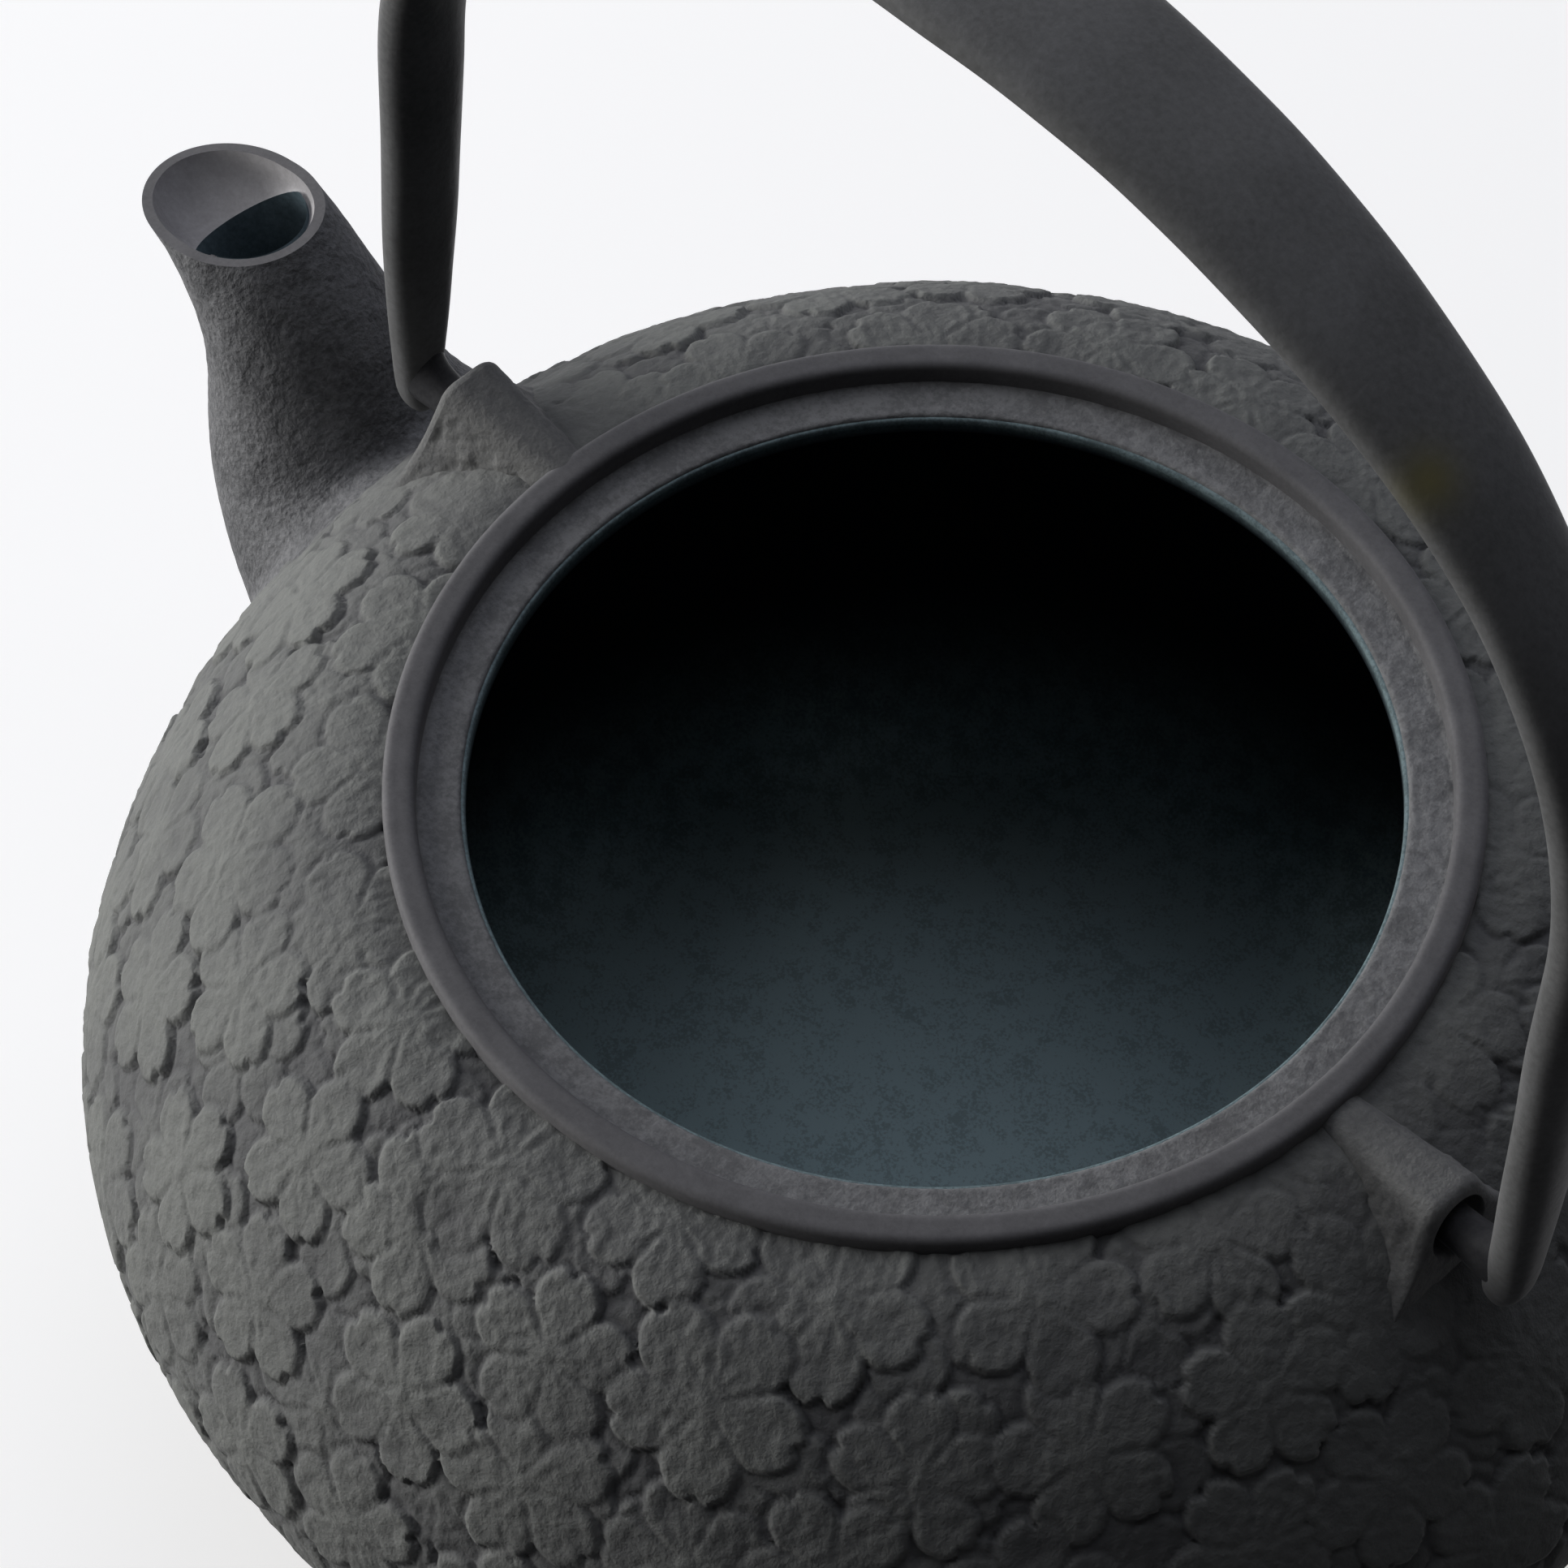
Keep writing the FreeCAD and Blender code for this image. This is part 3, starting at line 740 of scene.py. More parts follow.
def pot_inside():
    """The lip's edge, the inner profile and the floor, turned. The enamel is painted dark up the walls as
    painted shade and grows pale towards the floor, partly wear and partly painted light, with wear on the
    lip.
    """
    lip_line = rounded([(MOUTH_RADIUS + LIP_WIDTH, LIP_TOP), (MOUTH_RADIUS, LIP_TOP), LIP_FOOT], radius=0.6)
    profile = inner_profile(count=150)
    floor_line = subdivided(np.array([profile[-1], (0.0, FLOOR)]), step=1.5)
    points = turned(np.concatenate([lip_line[:-1], profile, floor_line[1:]]), columns=360)
    height = points[..., 2]
    # Painted shade and light by height: the enamel is dark on the walls and pale on the floor, which is
    # partly wear
    wear_and_shade = np.maximum(smoothstep(*FLOOR_WEAR_AND_SHADE, height) ** 2, LIP_WEAR * smoothstep(*LIP_WEAR_START, height))
    piece("enamelled_inside", points, enamel, POT, flip=True, last_pole=True,
          keep=spout_hole(points, SPOUT_WALL - INSIDE_OVERLAP), measures={"wear_and_shade": wear_and_shade})


pot_wall()
pot_base()
pot_inside()

# Rim: the raised ring, and the ledge in it that takes the lid

RIM_COLUMNS = 900
RIM_STEP = 0.25
RIM_SUNK = 0.9  # how far the ring's foot goes into the wall
LEDGE_EDGE = 0.3  # how far the ledge ends before the recess's wall and the mouth
LEDGE_ROUND = 0.5


def rim_piece(name, corners, radius, material, grain):
    """A line through corners, rounded by radius and turned, with a fine random waviness."""
    points = turned(subdivided(rounded(corners, radius)[::-1], RIM_STEP), RIM_COLUMNS)
    points[..., 2] += grainy(points.shape, grain)
    piece(name, points, material, POT)


rim_piece("rim_ring", [
    (RIM_FOOT[0], RIM_FOOT[1] - RIM_SUNK), (RING_RADIUS, RING_TOP), (RECESS_RADIUS, RING_TOP),
    (RECESS_RADIUS, LEDGE)], RING_ROUND, turned_iron, RING_GRAIN)
rim_piece("lid_ledge", [
    (RECESS_RADIUS + 0.2, LEDGE + 0.1), (RECESS_RADIUS - LEDGE_EDGE, LEDGE),
    (MOUTH_RADIUS + LEDGE_EDGE, LEDGE), (MOUTH_RADIUS + LEDGE_EDGE, LIP_FOOT[1] + 0.8)],
    LEDGE_ROUND, ledge_iron, LEDGE_GRAIN)

# Spout: skin, ground lip, dish and bore

SKIN_SHARES = np.linspace(-0.45, 1.0, 240)
SKIN_ROWS = 150
FOOT_ROWS = 12
SMOOTH_ROWS = 12  # rows at the mouth over which the sand grows
DISH_ROWS = 30
DISH_SAG = (0.1, 0, 0.7)
THROAT_DROP = 0.6
BORE_SHARES = np.linspace(0.15, 1.2, 200)
BORE_ROWS = 60
BORE_STRAIGHT = 14
BORE_EASE = 0.4  # share of the bore over which it leaves the straight
BORE_ROUND = 1.5
BORE_LEVEL = -0.05
BORE_FOOT_ROWS = 8


def spout_skin():
    """Rings of the spout's outer radius from the plane of its mouth down to a flared foot on the pot, with a
    sandy skin that is smooth at the mouth. Gives the ring at the mouth."""
    rings, out = tube(SKIN_SHARES, spout_radius(SKIN_SHARES))
    lip_row = crossing(mouth_height(rings), 0.0)
    gap, _ = profile_gap(outer_coarse, rings)
    foot_row = crossing(gap, FOOT_ROUND + PLAIN_LEVEL)
    rows = sampled(rings, lip_row + (foot_row - lip_row) * np.linspace(0, 1, SKIN_ROWS)[:, None])
    foot = flared_foot(rings, out, outer_coarse, lip_row, FOOT_ROUND, PLAIN_LEVEL, FOOT_ROWS)
    points = np.concatenate([rows, foot[1:]])
    sand = grainy(points.shape, SPOUT_SAND) * smoothstep(0, SMOOTH_ROWS, np.arange(len(points)))[:, None]
    piece("spout_skin", points - grid_normals(points) * sand[..., None], sand_iron, POT, flip=True)
    return sampled(rings, lip_row)


def spout_lip(outer):
    """A flat ring from the mouth's edge in towards its centre, LIP_EDGE wide. Gives its inner edge."""
    centre = outer.mean(0)
    inner = outer + (centre - outer) * LIP_EDGE / np.linalg.norm(outer - centre, axis=-1, keepdims=True)
    piece("spout_lip", np.stack([outer, outer * 0.5 + inner * 0.5, inner]), turned_iron, POT)
    return inner


def throat_ring(inward):
    """A circle square to inward, whose points are moved along it until they lie THROAT_DROP below the plane
    of the mouth."""
    turn = circle(SPOUT_COLUMNS)[:, None]
    middle = in_space(np.array(THROAT))
    up = np.array([-inward[2], 0, inward[0]])
    ring = middle + THROAT_RADIUS * (np.cos(turn) * up + np.sin(turn) * np.array([0, 1, 0]))
    fall = mouth_height(middle + inward) - mouth_height(middle)
    return ring + inward * (np.maximum(mouth_height(ring) + THROAT_DROP, 0) / -fall)[:, None]


def spout_dish(edge, throat):
    """Straight lines from the lip's inner edge to the throat, which sag by a parabola."""
    share = np.linspace(0, 1, DISH_ROWS)[:, None, None]
    points = edge * (1 - share) + throat * share - 4 * share * (1 - share) * np.array(DISH_SAG)
    piece("spout_dish", points, ground_iron, POT)


def spout_bore(throat, inward):
    """The throat's ring carried straight in and eased into rings round the axis, a wall's thickness inside
    the skin, with a round where they come out inside the pot."""
    rings, out = tube(BORE_SHARES, np.maximum(spout_radius(BORE_SHARES) - SPOUT_WALL, THROAT_RADIUS))
    gap, _ = profile_gap(inner_coarse, rings)
    part = np.linspace(0, 1, BORE_ROWS)[:, None]
    rows = sampled(rings, crossing(gap, BORE_ROUND) * part)
    straight = throat + inward * BORE_STRAIGHT * part[..., None]
    ease = smoothstep(0, BORE_EASE, part)[..., None]
    foot = flared_foot(rings, out, inner_coarse, 0.0, BORE_ROUND, BORE_LEVEL, BORE_FOOT_ROWS)
    points = np.concatenate([straight * (1 - ease) + rows * ease, foot[1:]])
    piece("spout_bore", points, throat_enamel, POT)


throat_inward = in_space(polar(-THROAT_PITCH, 1.0))
throat_edge = throat_ring(throat_inward)
spout_dish(spout_lip(spout_skin()), throat_edge)
spout_bore(throat_edge, throat_inward)

# Lugs

LUG_COLUMNS = 150
LUG_ROWS = 60
LUG_STRETCHES = (0.0, 0.1, 0.32, 0.82, 1.0)
LUG_ROOT = RING_RADIUS - 1.4
SMOOTH_TOP = (0.3, 0.4)  # shares of the way round between which the sand grows
SMOOTH_END = 4  # rows at the face over which it ends
EDGE_RINGS = 6
FACE_RINGS = 10
SOCKET_RINGS = (0.4, 1.2, 2.4, SOCKET_DEPTH)


def lug_outline(flat_half, depth):
    """A lug's section as (across, up) about the middle of its ridge: a flat top, round edges, two flared
    cheeks and a flat foot. LUG_STRETCHES gives the shares of the way down each side at which these end."""
    flare = np.radians(LUG_FLARE)
    way = np.linspace(-1, 1, LUG_COLUMNS, endpoint=False)
    ends = np.array(LUG_STRETCHES)[:, None]
    top, edge, cheek, foot = np.clip((np.abs(way) - ends[:-1]) / np.diff(ends, axis=0), 0, 1)
    around = edge * (np.pi / 2 - flare)
    down = cheek * (depth + LUG_RIDGE * np.sin(flare))
    across = (flat_half * top + LUG_RIDGE * np.sin(around) + down * np.tan(flare)) * (1 - foot)
    return np.sign(way) * across, LUG_RIDGE * np.cos(around) - down


def footed(points):
    """Points of a lug spread sideways near the pot's wall, by LUG_SPREAD times the square of how near they
    are."""
    gap, _ = profile_gap(outer_coarse, points)
    spread = LUG_SPREAD * np.maximum(1 - np.maximum(gap, -1) / LUG_BLEND, 0) ** 2
    side = np.clip(points[..., 1] / LUG_RIDGE, -1, 1)
    return points + (side * spread)[..., None] * np.array([0, 1, 0])


def lug_pieces(name, toward, rise, drop):
    """One lug: its skin runs straight from a section at the rim, drop below the ring's top, to one at its
    face, whose ridge lies rise above the ledge and which leans back by LUG_LEAN. The face has a round edge of
    radius LUG_EDGE, whose rings go on to the socket's hole and in."""
    lean_x, lean_z = polar(90 + LUG_LEAN, 1.0)
    outward = np.array([lean_z, 0, -lean_x])
    centre = np.array([LUG_FACE, 0, SOCKET_HEIGHT])
    across, up = lug_outline(LUG_FLATS[0], LUG_DEPTHS[0])
    root = np.stack([np.full(LUG_COLUMNS, LUG_ROOT), across, RING_TOP - drop - LUG_RIDGE + up], axis=-1)
    across, up = lug_outline(LUG_FLATS[1], LUG_DEPTHS[1])
    up = up + LEDGE - SOCKET_HEIGHT + rise - LUG_RIDGE
    end = footed(np.stack([LUG_FACE + up * lean_x, across, SOCKET_HEIGHT + up * lean_z], axis=-1))

    share = np.linspace(0, 1, LUG_ROWS)[:, None, None]
    skin = root * (1 - share) + (end - outward * LUG_EDGE) * share
    cheek = smoothstep(*SMOOTH_TOP, np.abs(np.linspace(-1, 1, LUG_COLUMNS, endpoint=False)))[None, :]
    sandy = cheek * smoothstep(0, SMOOTH_END, np.arange(LUG_ROWS)[::-1])[:, None]
    skin = skin + grid_normals(skin) * (grainy(skin.shape, LUG_SAND) * sandy)[..., None]

    inward = unit(centre - end)
    rings = [end + inward * LUG_EDGE * (1 - np.cos(angle)) + outward * LUG_EDGE * (np.sin(angle) - 1)
             for angle in np.linspace(0, np.pi / 2, EDGE_RINGS)]
    turn = np.linspace(-np.pi, np.pi, LUG_COLUMNS, endpoint=False)
    hole_up = SOCKET_RADIUS * np.cos(turn)
    hole = centre + np.stack([hole_up * lean_x / lean_z, SOCKET_RADIUS * np.sin(turn), hole_up], axis=-1)
    shares = np.arange(1, FACE_RINGS + 1) / FACE_RINGS
    rings += [rings[-1] * (1 - part) + hole * part for part in shares]
    rings += [np.minimum(hole, (LUG_FACE - depth, np.inf, np.inf)) for depth in SOCKET_RINGS]
    rings.append(np.repeat((centre - (SOCKET_DEPTH, 0, 0))[None], LUG_COLUMNS, axis=0))
    side = np.array([toward, toward, 1])
    piece(name + "_lug", skin * side, lug_iron, POT, flip=True)
    piece(name + "_lug_face", np.stack(rings) * side, lug_iron, POT, flip=True, last_pole=True)


lug_pieces("spout", toward=-1, rise=3.8, drop=0.1)
lug_pieces("far", toward=1, rise=2.2, drop=0.9)

# Handle

STRAP_ROWS = 620
STRAP_COLUMNS = 72
STRAP_POWER = 2.3  # 2 would be an ellipse
ARC_STEPS = 80
TIP_HOOK = 1.0
TIP_HOOK_REACH = LEG_TAIL + 1.5
TIP_ROUND = 3.2
LEG_DRAW = 0.006  # share by which the arch is narrower than its feet
WIDTH_EASE = 60
SWELL = (0.012, 26.0)  # share of the width, and length in rows
PEG_SLACK = (0.4, 0.3)  # how much thinner the peg is at its end and at the lug's face
PEG_ROUND = 0.7
PEG_STEP = 0.25
PEG_COLUMNS = 48
PEG_WEB_END = LEG_LINE - 1.6


def strap_line():
    """The strap's middle line from tip to tip in its own plane, straight legs, two corner arcs and a crown
    arc, and the distance from the nearer tip measured along it."""
    corner = np.array([LEG_LINE - CORNER_RADIUS, LEG_STRAIGHT])
    drop = np.sqrt((CROWN_RADIUS - CORNER_RADIUS) ** 2 - corner[0] ** 2)
    sweep = np.arctan2(drop, corner[0])
    bend = np.linspace(0, sweep, ARC_STEPS)
    crown = np.linspace(sweep, np.pi / 2, ARC_STEPS)
    half = np.concatenate([
        [[LEG_LINE, -LEG_TAIL]],
        corner + CORNER_RADIUS * np.stack([np.cos(bend), np.sin(bend)], axis=1),
        np.array([0, LEG_STRAIGHT - drop]) + CROWN_RADIUS * np.stack([np.cos(crown), np.sin(crown)], axis=1)])
    line = evenly(np.concatenate([half, half[-2::-1] * (-1, 1)]), STRAP_ROWS)
    step = np.linalg.norm(line[1] - line[0])
    return line, np.minimum(np.arange(STRAP_ROWS), np.arange(STRAP_ROWS)[::-1]) * step


def strap():
    """A flat bar carried along that line: its section is a superellipse, wide across the pot and thin in the
    handle's plane. Its width and thickness are interpolated along the line, the tips hook in a little and
    close in a quarter round, and slow random swells stand for the hammer."""
    line, reach = strap_line()
    crown = reach.max()
    bend = LEG_TAIL + LEG_STRAIGHT
    hook = TIP_HOOK * np.clip(1 - reach / TIP_HOOK_REACH, 0, 1) ** 2
    drawn = 1 - LEG_DRAW * smoothstep(0, LEG_STRAIGHT, line[:, 1])
    line[:, 0] = line[:, 0] * drawn - np.sign(line[:, 0]) * hook
    width_places = [0, LEG_TAIL, LEG_TAIL + 13, LEG_TAIL + 25, bend, bend + 18, 0.62 * crown, crown]
    width = eased(np.interp(reach, width_places, STRAP_WIDTHS), WIDTH_EASE)
    thick = np.interp(reach, [0, LEG_TAIL, bend, 0.7 * crown, crown], STRAP_THICKNESSES)
    close = np.sqrt(np.maximum(1 - (1 - np.minimum(reach / TIP_ROUND, 1)) ** 2, 0))
    swell = 1 + SWELL[0] * mottle(STRAP_ROWS, 1, SWELL[1])[:, 0]
    run = unit(np.gradient(line, axis=0))
    turn = circle(STRAP_COLUMNS)
    flat = np.sign(np.cos(turn)) * np.abs(np.cos(turn)) ** (2 / STRAP_POWER)
    tall = np.sign(np.sin(turn)) * np.abs(np.sin(turn)) ** (2 / STRAP_POWER)
    across = (width * close * swell / 2)[:, None] * flat
    outward = (thick * close / 2)[:, None] * tall
    outward = outward + grainy(outward.shape, STRAP_GRAIN) * close[:, None]
    return np.stack([line[:, :1] + run[:, 1:] * outward, across, line[:, 1:] - run[:, :1] * outward], axis=-1)


def leaning(points):
    """Points of the upright handle, given about its hinge, leaned to where it rests."""
    lean = np.radians(HANDLE_LEAN)
    x, y, z = np.moveaxis(points, -1, 0)
    return np.stack([x, y * np.cos(lean) + z * np.sin(lean),
                     SOCKET_HEIGHT + z * np.cos(lean) - y * np.sin(lean)], axis=-1)


def peg(toward):
    """A peg from the leg into the socket: a profile of (radius, reach) turned about the hinge line. Towards
    the leg its upper half rises in a quarter round of radius PEG_WEB, which ends inside the leg."""
    end = LUG_FACE - SOCKET_DEPTH + PEG_END_GAP
    line = rounded([(0, end), (PEG_RADIUS - PEG_SLACK[0], end), (PEG_RADIUS - PEG_SLACK[1], LUG_FACE + 1),
                    (PEG_RADIUS, LEG_LINE)], PEG_ROUND)
    side, up, reach = np.moveaxis(turned(subdivided(line, PEG_STEP), PEG_COLUMNS), -1, 0)
    share = np.clip((reach - (PEG_WEB_END - PEG_WEB)) / PEG_WEB, 0, 1)
    upper = np.maximum(up, 0) / PEG_RADIUS
    height = up + PEG_WEB * (1 - np.sqrt(1 - share ** 2)) * upper ** 2
    return np.stack([toward * reach, toward * side, height], axis=-1)


def handle_pieces():
    """The strap, rubbed round one spot by a Gaussian of the distance from it, and the two pegs."""
    points = leaning(strap())
    rub = np.exp(-((points - RUB_PLACE) ** 2).sum(-1) / (2 * RUB_REACH ** 2))
    piece("handle_strap", points, lacquered_iron, HANDLE, first_pole=True, last_pole=True, flip=True,
          measures={"rub": rub})
    # The pegs' material is painted dark to stand for the shade in the sockets
    for name, toward in (("spout_side_peg", -1), ("far_side_peg", 1)):
        piece(name, leaning(peg(toward)), peg_shade_iron, HANDLE, first_pole=True, flip=True)


handle_pieces()

# Lid

LID_PLACE = (LID_LINE, 0, 0)
LID_ROWS = 75
LID_COLUMNS = 620
LID_PULL = (SKIRT[0] - WASHER_RADIUS) / 2
LID_BLOSSOMS = 12.6  # spacing
LID_MARGINS = (5.0, 6.0)  # clear of blossoms' middles at the seat and at the edge
SEAT_PLAIN = (3.0, 1.5)  # distances from the seat between which the relief fades
EDGE_PLAIN = (5.0, 3.5)  # the same from the edge
VENT_PLAIN = (5.0, 3.6)  # and from the vent's axis
LID_SURFACE_SHARE = 99.8  # percent of the relief that lies below the solid's surface
LID_RUBBED = 0.6
LID_EDGES = 0.4
EDGE_SLOPE = (0.45, 0.6)  # how far the edge falls to the dome and to its side
UNDER_FLAT = (WASHER_RADIUS + 0.2, LID_UNDER + LID_RISE)
UNDER_ROWS = 40
VENT_CUT = 0.8
VENT_COLUMNS = 64
VENT_LEVEL_REACH = 2.5
VENT_REACHES = (1.6, 1.0, 0.45, 0.12, 0.0)
VENT_RISES = (-0.06, 0.03, 0.03, -0.12, -0.45)


def lid_piece(name, points, material, **more):
    """A piece of the lid, whose points are given about its own axis."""
    piece(name, points + np.array(LID_PLACE), material, LID, **more)


def dome_profile():
    """The dome's top from the knob's seat to the edge, a cubic curve at equal steps."""
    seat = np.array(LID_SEAT)
    edge = np.array([LID_RADIUS - LID_ROUND, LID_EDGE_TOP])
    poles = [seat, seat + (LID_PULL, 0), edge + (-LID_PULL, LID_RISE / 2), edge]
    return evenly(cubic(poles, np.linspace(0, 1, 200)), LID_ROWS)


def under_profile():
    """The dome's underside from the skirt to the flat under the washer, a cubic curve."""
    foot = np.array([SKIRT[0], LID_UNDER])
    flat = np.array(UNDER_FLAT)
    poles = [foot, foot + (-LID_PULL, LID_RISE / 2), flat + (LID_PULL, 0), flat]
    return cubic(poles, np.linspace(0, 1, UNDER_ROWS))


def vent_distance(points):
    """Distance from the vent's axis, seen from above."""
    return np.hypot(points[..., 0], points[..., 1] - VENT_OFFSET)


def vent_hole(points):
    """Quads of a turned grid of the lid that lie outside the vent and its rounded edges."""
    return vent_distance(quad_middles(points)) > VENT_RADIUS + VENT_CUT


def lid_dome():
    """The dome's profile turned, and moved along its normals by the relief, which is plain round the seat,
    the edge and the vent. Gives the mean height of the relief at the vent."""
    profile = dome_profile()
    smooth = turned(profile, LID_COLUMNS)
    reach = distances(profile)
    end = reach[-1]
    relief = blossom_relief(smooth, reach, LID_MARGINS[0], end - LID_MARGINS[1], LID_BLOSSOMS)
    relief += grainy(relief.shape, LID_GRAIN)
    plain = np.maximum(smoothstep(*EDGE_PLAIN, end - reach), smoothstep(*SEAT_PLAIN, reach))
    plain = np.maximum(plain[:, None], smoothstep(*VENT_PLAIN, vent_distance(smooth)))
    relief = relief * (1 - plain) + PLAIN_LEVEL * plain
    relief = np.minimum(relief - np.percentile(relief, LID_SURFACE_SHARE), 0)
    points = smooth + grid_normals(smooth) * relief[..., None]
    lid_piece("lid_dome", points, blossom_iron, keep=vent_hole(points),
              measures={"relief": np.clip(1 + relief / LID_RUBBED, 0, 1)})
    return relief[vent_distance(smooth) < VENT_LEVEL_REACH].mean()


def lid_turnings():
    """The knob's seat, and the edge, the skirt and the underside, each a rounded profile turned."""
    seat_top = LID_SEAT[1] + LID_SEAT_HEIGHT
    seat_line = rounded([(LID_HOLE_RADIUS, LID_SEAT[1]), (LID_HOLE_RADIUS, seat_top), (LID_SEAT[0], seat_top),
                         (LID_SEAT[0], LID_SEAT[1] - LID_SEAT_HEIGHT)], LID_EDGES)
    lid_piece("knob_seat", turned(subdivided(seat_line, step=0.5), columns=96), turned_iron)
    edge_line = rounded([
        (LID_RADIUS - 2 * LID_ROUND, LID_EDGE_TOP - EDGE_SLOPE[0]), (LID_RADIUS - LID_ROUND, LID_EDGE_TOP),
        (LID_RADIUS, LID_EDGE_TOP - EDGE_SLOPE[1]), (LID_RADIUS, LID_UNDER), (SKIRT[1], LID_UNDER),
        (SKIRT[1], 0.0), (SKIRT[0], 0.0), (SKIRT[0], LID_UNDER)], LID_EDGES)
    hole_line = [(LID_HOLE_RADIUS, UNDER_FLAT[1]), (LID_HOLE_RADIUS, LID_SEAT[1])]
    under_line = np.concatenate([edge_line, under_profile()[1:], hole_line])
    points = turned(subdivided(under_line, step=0.4), columns=480)
    lid_piece("lid_skirt", points, turned_iron, keep=vent_hole(points))


def lid_vent(level):
    """The vent's wall: rings about its axis that follow the dome at its top and the underside at its foot,
    and round its edges by the named reaches and rises."""
    turn = circle(VENT_COLUMNS)
    reach = VENT_RADIUS + np.array(VENT_REACHES + VENT_REACHES[::-1])[:, None]
    x, y = reach * np.cos(turn), VENT_OFFSET + reach * np.sin(turn)
    dome, under = dome_profile(), under_profile()[::-1]
    top = np.interp(np.hypot(x, y), dome[:, 0], dome[:, 1]) + level
    foot = np.interp(np.hypot(x, y), under[:, 0], under[:, 1])
    rises = np.array(VENT_RISES)[:, None]
    half = len(rises)
    z = np.concatenate([top[:half] + rises, foot[half:] - rises[::-1]])
    lid_piece("lid_vent", np.stack([x, y, z], axis=-1), turned_iron, flip=True)


vent_level = lid_dome()
lid_turnings()
lid_vent(vent_level)
for node, material in (("lid_knob", lacquered_iron), ("knob_washer", steel)):
    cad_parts[node].data.materials.clear()
    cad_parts[node].data.materials.append(material)

# Camera, floor and light, in metres

CAMERA_PLACE = (0.18822, -0.19020, 0.44404)
IMAGE_RIGHT = (0.69385513, 0.71994707, -0.01553319)
IMAGE_DOWN = (0.57944863, -0.57099582, -0.58155229)
IMAGE_AWAY = (-0.42755625, 0.39451235, -0.81336072)
LENS = 130.43  # in millimetres, as is the sensor
SENSOR = 36.0
CLIP_START = 0.01
FLOOR_HALF = 6
FLOOR_DROP = 0.0003
FLOOR_GLOW = 0.58
FLOOR_FADE = (0.4, 1.2)
BACKDROP = "#f8f8fb"
WORLD_LIGHT = 0.015
LIGHTS_AIM = (0, 0, 0.05)


def photo_camera():
    """A camera at the place and with the axes that the photograph was solved for."""
    data = bpy.data.cameras.new("camera")
    data.lens = LENS
    data.sensor_width = SENSOR
    data.clip_start = CLIP_START
    camera = bpy.data.objects.new("camera", data)
    axes = np.array([IMAGE_RIGHT, np.negative(IMAGE_DOWN), np.negative(IMAGE_AWAY)]).T
    camera.matrix_world = Matrix.Translation(CAMERA_PLACE) @ Matrix(axes.tolist()).to_4x4()
    bpy.context.scene.collection.objects.link(camera)
    bpy.context.scene.camera = camera


def seen_directly(tree):
    """1 for rays from the camera and those that a shiny or clear surface sends on, 0 for the light's own."""
    rays = add(tree, "ShaderNodeLightPath").outputs
    seen = rays["Is Camera Ray"]
    for kind in ("Is Glossy Ray", "Is Transmission Ray"):
        seen = add(tree, "ShaderNodeMath", {0: seen, 1: rays[kind]}, operation="MAXIMUM").outputs[0]
    return seen


def paper():
    """White paper: where it is seen directly it glows a little, and fades to the backdrop away from the pot.
    For the light's own rays it is grey."""
    material = bpy.data.materials.new("white_paper")
    tree = new_tree(material)
    shade = add(tree, "ShaderNodeBsdfDiffuse", {"Color": colour("#707072")})
    lit = add(tree, "ShaderNodeBsdfDiffuse", {"Color": colour("#ccccce")})
    glow = add(tree, "ShaderNodeEmission", {"Color": colour("#fbfaf9"), "Strength": FLOOR_GLOW})
    near = add(tree, "ShaderNodeAddShader", {0: lit.outputs[0], 1: glow.outputs[0]})
    place = add(tree, "ShaderNodeTexCoord").outputs["Object"]
    reach = add(tree, "ShaderNodeVectorMath", {0: place}, operation="LENGTH")
    fade = add(tree, "ShaderNodeMapRange", {
        "Value": reach.outputs["Value"], "From Min": FLOOR_FADE[0], "From Max": FLOOR_FADE[1]})
    far = add(tree, "ShaderNodeEmission", {"Color": colour(BACKDROP)})
    white = add(tree, "ShaderNodeMixShader", {
        0: fade.outputs["Result"], 1: near.outputs[0], 2: far.outputs[0]})
    both = add(tree, "ShaderNodeMixShader", {
        0: seen_directly(tree), 1: shade.outputs[0], 2: white.outputs[0]})
    add(tree, "ShaderNodeOutputMaterial", {"Surface": both.outputs[0]})
    return material


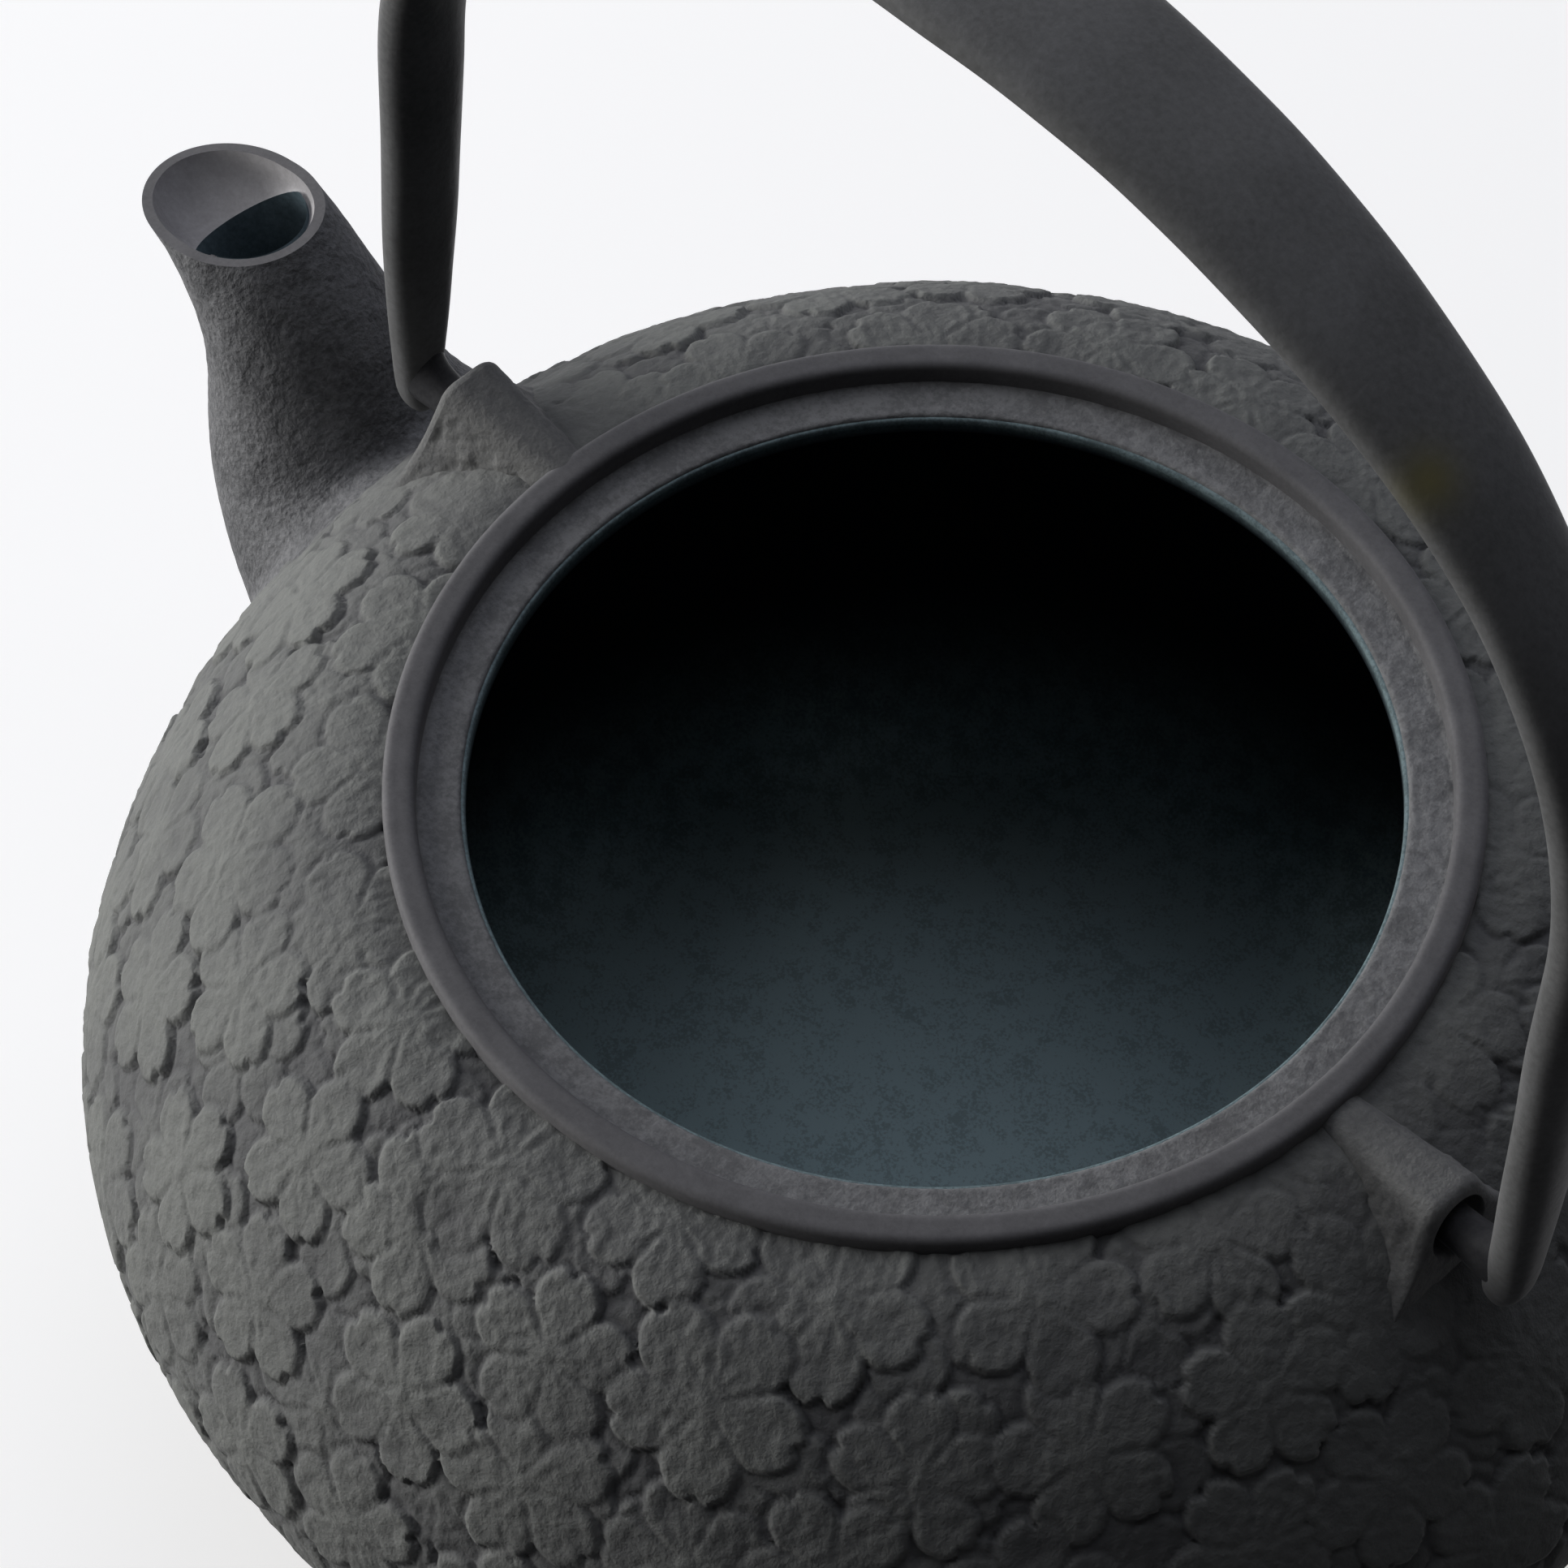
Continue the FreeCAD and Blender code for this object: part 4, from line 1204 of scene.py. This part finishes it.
def paper_floor():
    """A square just under the pot."""
    corners = [(x * FLOOR_HALF, y * FLOOR_HALF, -FLOOR_DROP) for x, y in ((-1, -1), (1, -1), (1, 1), (-1, 1))]
    mesh = bpy.data.meshes.new("floor")
    mesh.from_pydata(corners, [], [(0, 1, 2, 3)])
    mesh.materials.append(paper())
    floor = bpy.data.objects.new("floor", mesh)
    bpy.context.scene.collection.objects.link(floor)


def studio():
    """A world that is bright where it is seen directly, and gives the pot hardly any light."""
    world = bpy.data.worlds.new("studio")
    bpy.context.scene.world = world
    tree = new_tree(world)
    strength = add(tree, "ShaderNodeMapRange", {
        "Value": seen_directly(tree), "To Min": WORLD_LIGHT, "To Max": 1.0})
    sky = add(tree, "ShaderNodeBackground", {
        "Color": colour(BACKDROP), "Strength": strength.outputs["Result"]})
    add(tree, "ShaderNodeOutputWorld", {"Surface": sky.outputs[0]})


def window(name, direction, distance, width, height, power, tint):
    """A soft rectangular light of that many watts that faces the pot from that direction."""
    data = bpy.data.lights.new(name, "AREA")
    data.shape = "RECTANGLE"
    data.size, data.size_y, data.energy, data.color = width, height, power, colour(tint)[:3]
    lamp = bpy.data.objects.new(name, data)
    back = unit(np.array(direction, float))
    side = unit(np.cross([0, 0, 1], back))
    axes = np.stack([side, np.cross(back, side), back], axis=1)
    place = back * distance + LIGHTS_AIM
    lamp.matrix_world = Matrix.Translation(place.tolist()) @ Matrix(axes.tolist()).to_4x4()
    bpy.context.scene.collection.objects.link(lamp)


photo_camera()
paper_floor()
studio()
window("window_left", (-0.88, -0.47, 0.07), 1.3, 1.0, 0.35, 20.0, "#fffffc")
window("window_left_high", (-0.75, -0.35, 0.56), 1.3, 1.0, 0.7, 6.6, "#ffffff")
window("window_above", (-0.25, 0.2, 0.95), 1.3, 1.1, 1.1, 4.0, "#eef3ff")
window("window_behind", (-0.45, 0.7, 0.55), 1.4, 0.9, 0.6, 2.6, "#eef1ff")
window("fill_right", (0.35, 0.93, 0.03), 1.3, 1.0, 0.35, 0.6, "#eef1ff")

bpy.context.scene.view_settings.view_transform = "Standard"
